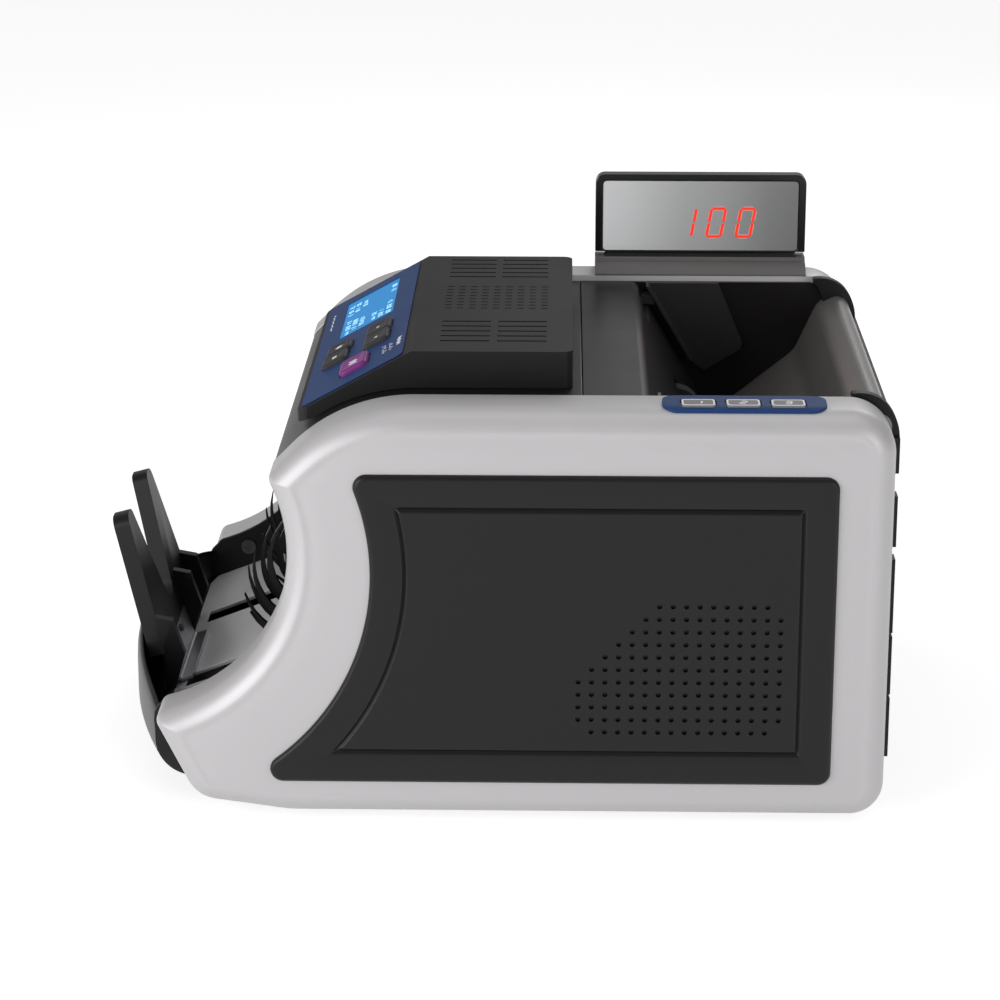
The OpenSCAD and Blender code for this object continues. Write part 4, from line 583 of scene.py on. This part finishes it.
def panel_mesh(name, side):
    """Rings over the soft edge and the embossed line, then the vented field inside them."""
    x1, r = FACE_X + PANEL_T, PANEL_EDGE_R
    steps = [(FACE_X, 0.0)]
    steps += [(x1 + r * (np.sin(a) - 1), r * (1 - np.cos(a))) for a in np.linspace(0, np.pi / 2, 9)]
    steps += [(x1 - deep, LINE_AT + off) for deep, off in LINE]
    rings = np.stack([ring_at(x, panel_outline(d)) for x, d in steps])
    m, n = rings.shape[:2]
    points = rings.reshape(-1, 3)
    faces = ring_faces(m, n) + [list(range(n))]
    centres, sides = vent_centres(), VENT_SIDES
    rims = centres[:, None, :] + VENT_R * unit(np.arange(sides) * 360 / sides)
    flat = np.concatenate([rings[-1][:, 1:], rims.reshape(-1, 2)])
    border = np.arange(n)
    here = np.arange(len(centres))[:, None] * sides + np.arange(sides)
    after = np.roll(here, -1, axis=1)
    edges = np.stack([border, np.roll(border, -1)], -1).tolist()
    edges += (n + np.stack([here, after], -1)).reshape(-1, 2).tolist()
    spots, _, fill, *_ = delaunay_2d_cdt([Vector(p) for p in flat], edges, [], 1, 1e-6)
    spots, fill = np.array(spots), np.array(fill)
    middle = spots[fill].mean(1)
    in_vent = (np.linalg.norm(middle[:, None] - centres[None], axis=-1) < VENT_R * 0.97).any(1)
    base = len(points)
    points = np.concatenate([points, np.c_[np.full(len(spots), x1), spots]])
    faces += (fill[~in_vent] + base).tolist()
    base, drop = len(points), here.size
    lips = xyz(x1, rims[..., 0], rims[..., 1]).reshape(-1, 3)
    points = np.concatenate([points, lips, lips - [VENT_DEEP, 0, 0]])
    faces += (base + np.stack([here, after, after + drop, here + drop], -1)).reshape(-1, 4).tolist()
    faces += (base + here + drop).tolist()
    return mesh_of(name, points * [side, 1, 1], faces)

for side, word in ((1, "right"), (-1, "left")):
    node = "side_panel_" + word
    skin = place(node + "_skin", panel_mesh(node, side), FINISH["charcoal"], BODY_OF[node], (node,),
                 38)
    print(skin.name, len(skin.data.polygons), "faces")

# %% [markdown]
# The fairing under the stacker is convex in plan and rolls under the machine. A plate bent by
# modifiers would come close, but its profile is the same everywhere, so the skin carries that
# profile along a shallow arc across the machine and keeps both radii true.

# %% Front fairing
FAIR_HALF, FAIR_BULGE, FAIR_TIP, FAIR_T = 94.7, 17.5, FRONT + 20.5, 2.2
FAIR_R = (RAIL_X ** 2 + FAIR_BULGE ** 2) / (2 * FAIR_BULGE)
FAIR_TOP, FAIR_KNEE, FAIR_TURN, FAIR_DROP = UNDER + 41.0, UNDER + 20.0, 15.0, 7.2
SOFT_TOP, FAIR_FOOT = 6, -(FRONT - 27.0)  # points of the soft top edge, and where the foot ends

def fairing_profile(d):
    """Profile (y from the face, z) at depth d: soft top edge, upright face and round knee."""
    knee = np.radians(np.linspace(0, 86, 16))
    top = [(2.4 - 0.3 * d, 0.0), (1.9 - 0.1 * d, -0.15 - 0.1 * d), (1.2 + 0.3 * d, -0.7 - 0.1 * d),
           (0.6 + 0.6 * d, -1.9), (0.2 + 0.9 * d, -4.0), (d, -8.0)]
    return np.concatenate([
        [[y, FAIR_TOP + z] for y, z in top],
        np.c_[FAIR_TURN - (FAIR_TURN - d) * np.cos(knee), FAIR_KNEE - (FAIR_TURN - d) * np.sin(knee)]])

def fairing_mesh():
    """Profile and a flat foot, carried across X on an arc; the top falls with the fourth power of X."""
    across = np.linspace(-FAIR_HALF, FAIR_HALF, 61)
    face_y = -FAIR_TIP + FAIR_R - np.sqrt(FAIR_R ** 2 - across ** 2)
    loop = []
    for d in (0.0, FAIR_T):
        p = fairing_profile(d)
        rows = xyz(across[:, None], face_y[:, None] + p[:, 0], p[:, 1])
        rows[:, :SOFT_TOP, 2] -= FAIR_DROP * np.abs(across[:, None] / FAIR_HALF) ** 4
        end = xyz(across, FAIR_FOOT, FAIR_KNEE - FAIR_TURN + 0.4 + d)
        rows = np.concatenate([rows, end[:, None]], 1)
        loop.append(rows if d == 0 else rows[:, ::-1])
    return closed_skin("front_fairing", np.concatenate(loop, 1))

place("front_fairing_skin", fairing_mesh(), FINISH["charcoal"], "body", ("front_fairing",), 40)
print("fairing radius in plan", round(FAIR_R, 1), "mm")

# %% [markdown]
# The fairing is a hollow shell, so its two ends are open. A thin cheek closes each, in the outline
# of the fairing's own profile, and a small nose carries the liner of the stacker bay forward to it.
# The shell's ends could be filled instead, but flat plates of their own, laid upright along the
# machine, keep a crisp corner and need no fill between curved edges.

# %% Cheeks and liner noses
CHEEK_X, CHEEK_AT, NOSE_X = (94.0, 94.65), 94.4, (95.1, 96.9)
cheek = fairing_profile(FAIR_T / 2) + [-FAIR_TIP + FAIR_R - np.sqrt(FAIR_R ** 2 - CHEEK_AT ** 2), 0]
cheek[:SOFT_TOP, 1] -= FAIR_DROP
cheek = np.concatenate([cheek, [[-99.5, 10.4], [-99.5, 20], [-112, 27.5], [-123.5, 24.3], [-125.8, 26],
                                [-126.2, 36]]])
nose = np.concatenate([arc(CUT_C, CUT_R + 0.6, angle_of([26.0, -61.2]), angle_of([19.0, -63.7]), 4),
                       [[-126, 40.8], [-128.3, 38.6], [-129.5, 36.3], [-129.8, 33.0], [-129.0, 20.0],
                        [-116, 20.0]]])
for side, word in ((1, "right"), (-1, "left")):
    lay_side = lambda u, v, h, side=side: xyz(side * h, u, v)
    place("fairing_cheek_" + word, plates("fairing_cheek_" + word, [cheek], *CHEEK_X, lay_side),
          FINISH["charcoal"], "body", (), 40)
    place("liner_nose_" + word, plates("liner_nose_" + word, [nose], *NOSE_X, lay_side),
          FINISH["black"], "body", (), 40)
print("cheek points:", len(cheek), "nose points:", len(nose))

# %% [markdown]
# The remaining mouldings are right as solids and only their edges are too sharp. They could be
# modelled anew, but a bevel on a merged copy gives them the small radii that an injection mould
# leaves: larger on the head and the display, finer on thin parts.

# %% Soften the mouldings
for node, width, segments in (
        ("top_cover", 0.5, 2), ("control_housing", 0.7, 3), ("display_frame", 0.9, 3),
        ("display_bracket", 0.5, 2), ("stop_plate", 1.3, 4), ("hopper_front", 0.5, 2),
        ("guide_left", 0.3, 2), ("guide_right", 0.3, 2),
        ("side_keypad", 0.3, 2), ("stacker_floor", 0.2, 2), ("stop_bracket", 0.2, 2), ("stop_screw", 0.15, 2),
        ("cover_screws", 0.15, 2), ("bay_wall_right", 0.2, 1), ("bay_wall_left", 0.2, 1),
        ("control_overlay", 0.1, 1)):
    material = OWN_FINISH.get(node, FINISH[SLOT_OF[node]])
    skin = place(node + "_skin", merged_copy(node), material, BODY_OF[node], (node,), SHARP)
    round_edges(skin, width, segments)
    print(skin.name, len(skin.data.polygons), "faces")

# %% [markdown]
# Each stacking wheel catches the notes in the gaps between curved fingers. The middle line of a
# finger runs out from the hub while it falls back with the square of the way out. One finger could
# be bent by hand and copied round, but the formula keeps its sweep and taper easy to change. The
# wheel is two thin bladed discs on one hub, turned half a pitch to each other.

# %% Stacking wheels
WHEEL_C, WHEEL_R, HUB_R, FINGERS, SWEEP = np.array([-62.0, 66.0]), 37.5, 11.0, 12, 74.0
FINGER_PITCH = 360 / FINGERS
DISCS = ((0, -3.9, -1.4), (FINGER_PITCH / 2, 1.4, 3.9))  # turn, and the two faces of each disc
HUB = ((5, -4), (HUB_R - 0.5, -4), (HUB_R, -3.5), (HUB_R, 3.5), (HUB_R - 0.5, 4), (5, 4))
FINGER_HALF, TIP_HALF, TAPER = 1.25, 0.25, 3.2  # half thicknesses, and how fast one grows to the other

def finger(turn, n=22):
    """Outline of a finger: middle line at radius r = hub + t (rim - hub), angle turn - sweep t^2."""
    t = np.linspace(0, 1, n)[:, None]
    line = lambda t: (HUB_R - 2 + (WHEEL_R - HUB_R + 2) * t) * unit(turn - SWEEP * t[:, 0] ** 2)
    along = line(t + 0.01) - line(t - 0.01)
    out = np.stack([-along[:, 1], along[:, 0]], -1) / np.linalg.norm(along, axis=1, keepdims=True)
    half = np.minimum(FINGER_HALF, TIP_HALF + TAPER * (1 - t)) * np.where(t > 0.96, 0.6, 1.0)
    return np.concatenate([line(t) + out * half, (line(t) - out * half)[::-1]]) + WHEEL_C

round_hub = unit(np.linspace(0, 360, 48, endpoint=False))
for node, x in (("impeller_left", -38.0), ("impeller_right", 38.0)):
    lay_wheel = lambda u, v, h, x=x: xyz(x + h, u, v)
    bm = bmesh.new()
    for turn, low, high in DISCS:
        fingers = [finger(turn + FINGER_PITCH * k) for k in range(FINGERS)]
        bm.from_mesh(plates(node, fingers, low, high, lay_wheel))
    hub = np.stack([ring_at(x + h, WHEEL_C + r * round_hub) for r, h in HUB])
    bm.from_mesh(closed_skin(node, hub))
    mesh = bpy.data.meshes.new(node)
    bm.to_mesh(mesh)
    bm.free()
    place(node + "_skin", mesh, FINISH["black"], BODY_OF[node], (node,), 40)
print("fingers:", 4 * FINGERS)

# %% [markdown]
# The control panel lies on the slanted front of the head. Its own plane has x across the machine, s
# down the slope and h out of it. Keys are dished caps with softly rounded shoulders. A bevelled box
# would have a flat top, so each cap is a stack of superellipses that shrink over the shoulder and
# sink into the dish. The captions are plain marks without wording.

# %% Keys of the control panel
SLOPE = np.radians(29.0)
SLANT_TOP = np.array([-30.0, TOP + 12.0])

def on_slant(x, s, h):
    """Points of the machine for places across x, down the slope s and out of it h."""
    return xyz(x, SLANT_TOP[0] - s * np.cos(SLOPE) - h * np.sin(SLOPE),
               SLANT_TOP[1] - s * np.sin(SLOPE) + h * np.cos(SLOPE))

KEYS = {"key_menu": (15.5, 35.5, 12.6, 11.0), "key_mode": (29.8, 36.5, 13.0, 11.0),
        "key_up": (16.5, 17.5, 14.6, 11.0), "key_down": (32.5, 17.5, 14.6, 11.0),
        "key_start": (55.5, 26.0, 17.0, 12.0)}
KEY_RISE, KEY_FOOT, DISH = 2.4, -2.5, 0.45
MARK_LOW, MARK_HIGH = KEY_RISE - 0.6, KEY_RISE - 0.34
# Shoulder: inset from the side, and depth below the top
SHOULDER = ((0, 0.95), (0.12, 0.55), (0.4, 0.22), (0.85, 0.04), (1.3, 0.0))

def key_mesh(name, x, s, w, l):
    """Wall, rounded shoulder, and a dish: its depth is DISH times one less the square of the radius."""
    def ring(w, l, power, h):
        a, b = soft_rect(w, l, power).T
        return on_slant(x + a, s - b, h)
    rings = [ring(w, l, 8, KEY_FOOT)]
    rings += [ring(w - 2 * inset, l - 2 * inset, 8, KEY_RISE - deep) for inset, deep in SHOULDER]
    flat_w, flat_l = w - 2 * SHOULDER[-1][0], l - 2 * SHOULDER[-1][0]
    rings += [ring(flat_w * f, flat_l * f, 2 + 6 * f, KEY_RISE - DISH * (1 - f * f))
              for f in (0.85, 0.65, 0.4, 0.15)]
    return closed_skin(name, np.stack(rings))

for node, (x, s, w, l) in KEYS.items():
    colour = "key_purple" if node == "key_start" else "key_dark"
    place(node + "_skin", key_mesh(node, x, s, w, l), FINISH[colour], BODY_OF[node], (node,), 50)

def key_mark(node, outlines):
    """Pale print in the dish of a key."""
    mesh = plates(node + "_mark", outlines, MARK_LOW, MARK_HIGH, on_slant)
    return place(node + "_mark", mesh, PALE_PRINT_PAINTED_GLOW, BODY_OF[node])

def triangle(x, s, size, way):
    """Small triangle that points up the slope for way 1 and down it for way -1."""
    return [(x - size, s + way * size * 0.6), (x + size, s + way * size * 0.6), (x, s - way * size * 0.9)]

def key_bars(node, w, h, offsets):
    """Row of upright bars about the middle of a key."""
    x, s = KEYS[node][:2]
    return key_mark(node, [bar(x + dx, s + ds, w, h) for dx, ds in offsets])

key_mark("key_up", [triangle(*KEYS["key_up"][:2], 1.0, 1)])
key_mark("key_down", [triangle(*KEYS["key_down"][:2], 1.0, -1)])
key_bars("key_menu", 0.6, 2.6, ((-1.1, -0.3), (0, 0.3), (1.1, -0.1)))
key_bars("key_mode", 0.9, 2.0, ((-1.0, 0), (0.6, 0)))
key_bars("key_start", 0.8, 3.4, ((-2.2, 0.5), (-0.7, -0.2), (0.9, 0.4), (2.4, -0.3)))
print("keys:", len(KEYS))

# %% [markdown]
# The message window is lit from behind and carries rows of small figures. Text objects could write
# them, but seven-bar digits that lean a little need no font and look like the real ones. They are
# laid a hair above the window.

# %% Message window figures and panel captions
# Rows: place down the slope, figures, and the x where the row ends
ROWS = ((15.7, "15 200 80", -9), (19.4, "1 205", -10), (22.8, "20 44", -11), (28.6, "123456", -13),
        (32.0, "8805 21", -12), (35.2, "61 820 44", -9), (15.2, "08 15", -46), (28.9, "4470", -46),
        (32.4, "90 118", -43), (35.6, "72 36 5", -41))
FIGURE_W, FIGURE_H, FIGURE_T, FIGURE_PITCH = 1.5, 2.4, 0.42, 2.5
FIGURE_RISE, CAPTION_RISE = (0.15, 0.36), (0.35, 0.56)  # low and high face over the slope
figures = []
for s, text, x in ROWS:
    figures += seven_bars(text, (x - len(text) * FIGURE_PITCH, -s - FIGURE_H / 2), FIGURE_W, FIGURE_H,
                          FIGURE_T, FIGURE_PITCH, 12)
lay_figures = lambda u, v, h: on_slant(u, -v, h)
place("lcd_figures", plates("lcd_figures", figures, *FIGURE_RISE, lay_figures), PALE_LIT, "body")
captions = [bar(x, s, 0.5, l) for x, s, l in (
    (50.0, 13.5, 1.8), (52.0, 12.8, 0.8), (54.2, 13.0, 1.6), (56.0, 13.6, 0.9), (58.6, 12.6, 1.8),
    (60.4, 13.2, 1.0), (50.8, 10.6, 1.1), (53.0, 10.1, 1.7), (55.4, 10.4, 0.9), (57.6, 9.9, 1.6),
    (60.2, 10.2, 1.0))]
captions += [bar(47.6 + 1.5 * i, 6.4 + 0.25 * (i % 3), 0.9, 1.5) for i in range(8)]
captions += [bar(-56.5 + 3.0 * i, 44.0 + 0.3 * (i % 2), 1.6, 0.7) for i in range(9)]
place("panel_captions", plates("panel_captions", captions, *CAPTION_RISE, on_slant), PALE_PRINT_PAINTED_GLOW, "body")
print("bars in the window:", len(figures))

# %% [markdown]
# The display on the far rail shows a plain figure. Each bar is laid twice: a wider pale bar just
# proud of the window, and the lit bar on top of it, because a lit bar behind a half mirror is seen
# with a thin bright border. A glow laid over the finished render would look alike, but would belong
# to one view only.

# %% Display figures
DIGIT_H, DIGIT_W, DIGIT_PITCH, DIGIT_T = 14.2, 8.0, 12.7, 1.9
DIGIT_AT = np.array([75.4, 185.3 - DIGIT_H / 2])
lay_display = lambda u, v, h: xyz(h, u, v)
EDGE_X, LIT_X, EDGE_W = (-106.75, -106.58), (-106.7, -106.53), 0.36

def figure_100(inset):
    """Bars of the figure, each drawn in by the inset on all sides."""
    return seven_bars("100", DIGIT_AT + inset, DIGIT_W - 2 * inset, DIGIT_H - 2 * inset, DIGIT_T - 2 * inset,
                      DIGIT_PITCH)

place("display_digits_skin", plates("display_digits", figure_100(0), *EDGE_X, lay_display), LIT_EDGE,
      BODY_OF["display_digits"], ("display_digits",), 20)
place("display_digits_lit", plates("display_digits_lit", figure_100(EDGE_W), *LIT_X, lay_display),
      FINISH["lit_red"], BODY_OF["display_digits"], (), 20)
print("lit bars:", len(figure_100(0)))

# %% [markdown]
# Three shallow push buttons sit in the film on the near rail. Each is a soft-edged cap with a pale
# printed border and a plain number, which ride with it. A bevelled box would have straight sides, so
# the cap is a stack of soft rectangles, whose sides swell a little as moulded ones do.

# %% Side buttons
BUTTON_X, BUTTON_W, BUTTON_L, BUTTON_TOP = 111.3, 8.6, 12.6, TOP + 1.5
BUTTONS = {"side_button_front": (77.0, "1"), "side_button_middle": (93.5, "2"),
           "side_button_rear": (110.0, "3")}
CAP = ((0, 1.05), (0, 0.3), (0.08, 0.1), (0.3, 0.02), (0.5, 0.02))  # inset, and depth below the top
PRINT_LOW = BUTTON_TOP - 0.1

def button_outline(less_l, less_w):
    """Soft rectangle that is smaller than the button by the two amounts."""
    return soft_rect(BUTTON_L - less_l, BUTTON_W - less_w, 9, 56)

for node, (y, number) in BUTTONS.items():
    lay_button = lambda u, v, h, y=y: xyz(BUTTON_X - v, y + u, h)
    rings = [lay_button(*button_outline(2 * d, 2 * d).T, BUTTON_TOP - deep) for d, deep in CAP]
    border = rim_plate(node + "_border", button_outline(0.5, 0.5), button_outline(1.7, 2.1), PRINT_LOW,
                       BUTTON_TOP, lay_button)
    digit = plates(node + "_number", seven_bars(number, (-1.7, -2.1), 3.0, 4.2, 0.75, 4, 8), PRINT_LOW,
                   BUTTON_TOP, lay_button)
    place(node + "_skin", closed_skin(node, np.stack(rings)), FINISH["button_grey"], BODY_OF[node], (node,),
          50)
    place(node + "_border", border, PALE_PRINT_PAINTED_GLOW, BODY_OF[node])
    place(node + "_number", digit, PALE_PRINT_PAINTED_GLOW, BODY_OF[node])
print("buttons:", len(BUTTONS))

# %% [markdown]
# The hopper's back is one satin sheet. It rises behind the rear cover, bends over the crest, turns
# down into the hopper and eases into its slope. Solidify could give a bare surface its thickness, but
# a bent sheet is simply a path moved sideways by two distances: each straight run moves by its own
# normal and each bend keeps its centre, so its radius changes by the same distance. The fine steps
# of the crest carry a long soft highlight.

# %% Hopper back sheet
SHEET_T, SHEET_HALF, SHEET_EDGE = 2.5, 94.95, 0.35
BACK_PATH = [(150.3, 146), (150.0, 159.8), (137.2, 153.4), (127.5, 131.6), (90, 101.5)]
BACK_BEND = [5, 10, 14]

def bent_side(d, n=14):
    """The sheet's path with its corners rounded, moved to its left by d."""
    path = [np.array(p, float) for p in BACK_PATH]
    left = lambda v: np.array([-v[1], v[0]]) / np.linalg.norm(v)
    out = [path[0] + d * left(path[1] - path[0])]
    for a, b, c, r in zip(path, path[1:], path[2:], BACK_BEND):
        h = left(b - a) + left(c - b)
        m = h / np.linalg.norm(h)
        s = 1 if np.cross(b - a, c - b) > 0 else -1
        o = b + s * m * r / (m @ left(b - a))
        a0 = angle_of(-s * left(b - a))
        turn = (angle_of(-s * left(c - b)) - a0 + 180) % 360 - 180
        out += list(arc(o, r - s * d, a0, a0 + turn, n))
    return np.array(out + [path[-1] + d * left(path[-1] - path[-2])])

sheet = np.concatenate([bent_side(0), bent_side(SHEET_T)[::-1]])
inner = SHEET_HALF - SHEET_EDGE
rings = np.stack([ring_at(x, sheet) for x in (-SHEET_HALF, -inner, inner, SHEET_HALF)])
# The sheet's light grey finish is a painted reflection.
place("hopper_back_skin", closed_skin("hopper_back", rings), SHEET_PAINTED_REFLECTION, "body", ("hopper_back",),
      40)
print("points round the sheet:", len(sheet))

# %% [markdown]
# The rear cover closes the back. Between the sides the bent sheet runs over its top, so the skin
# keeps the solid only up to the start of the bend. At each end a black crescent stands proud of the
# silver corner: two arcs about the corner's centre, which close to a thin edge at the front. It
# could be carved out of the cover, but a ring of its own gets its thin end by formula.

# %% Rear cover
CAP_Z, CREST_C = 148.0, np.array([REAR - REAR_TOP_R, TOP - REAR_TOP_R])
CREST_OUT, CREST_IN, CRESCENT_X = (20.3, 17.4), (9.0, 16.0), (90.0, 94.9)

def crescent(name, side):
    """Two arcs about the corner's centre; past 40 degrees their radii ease towards each other."""
    angle = np.linspace(-4, 84, 27)
    ease = np.clip((angle - 40) / 44, 0, 1) ** 1.6
    outer, inner = (CREST_C + (a + (b - a) * ease)[:, None] * unit(angle) for a, b in (CREST_OUT, CREST_IN))
    loop = np.concatenate([outer, inner[::-1]])
    return closed_skin(name, np.stack([ring_at(side * x, loop) for x in CRESCENT_X]))

for name, mesh in (("rear_cover_skin", merged_copy("rear_cover", CAP_Z)),
                   ("rear_crescent_right", crescent("rear_crescent_right", 1)),
                   ("rear_crescent_left", crescent("rear_crescent_left", -1))):
    skin = place(name, mesh, FINISH["black"], "body", ("rear_cover",), SHARP)
    round_edges(skin, 0.3, 2)
    print(name, len(mesh.polygons), "faces")

# %% [markdown]
# A filmic view transform would grey the whites, so the standard one is set.

# %% Finish
bpy.context.scene.view_settings.view_transform = "Standard"
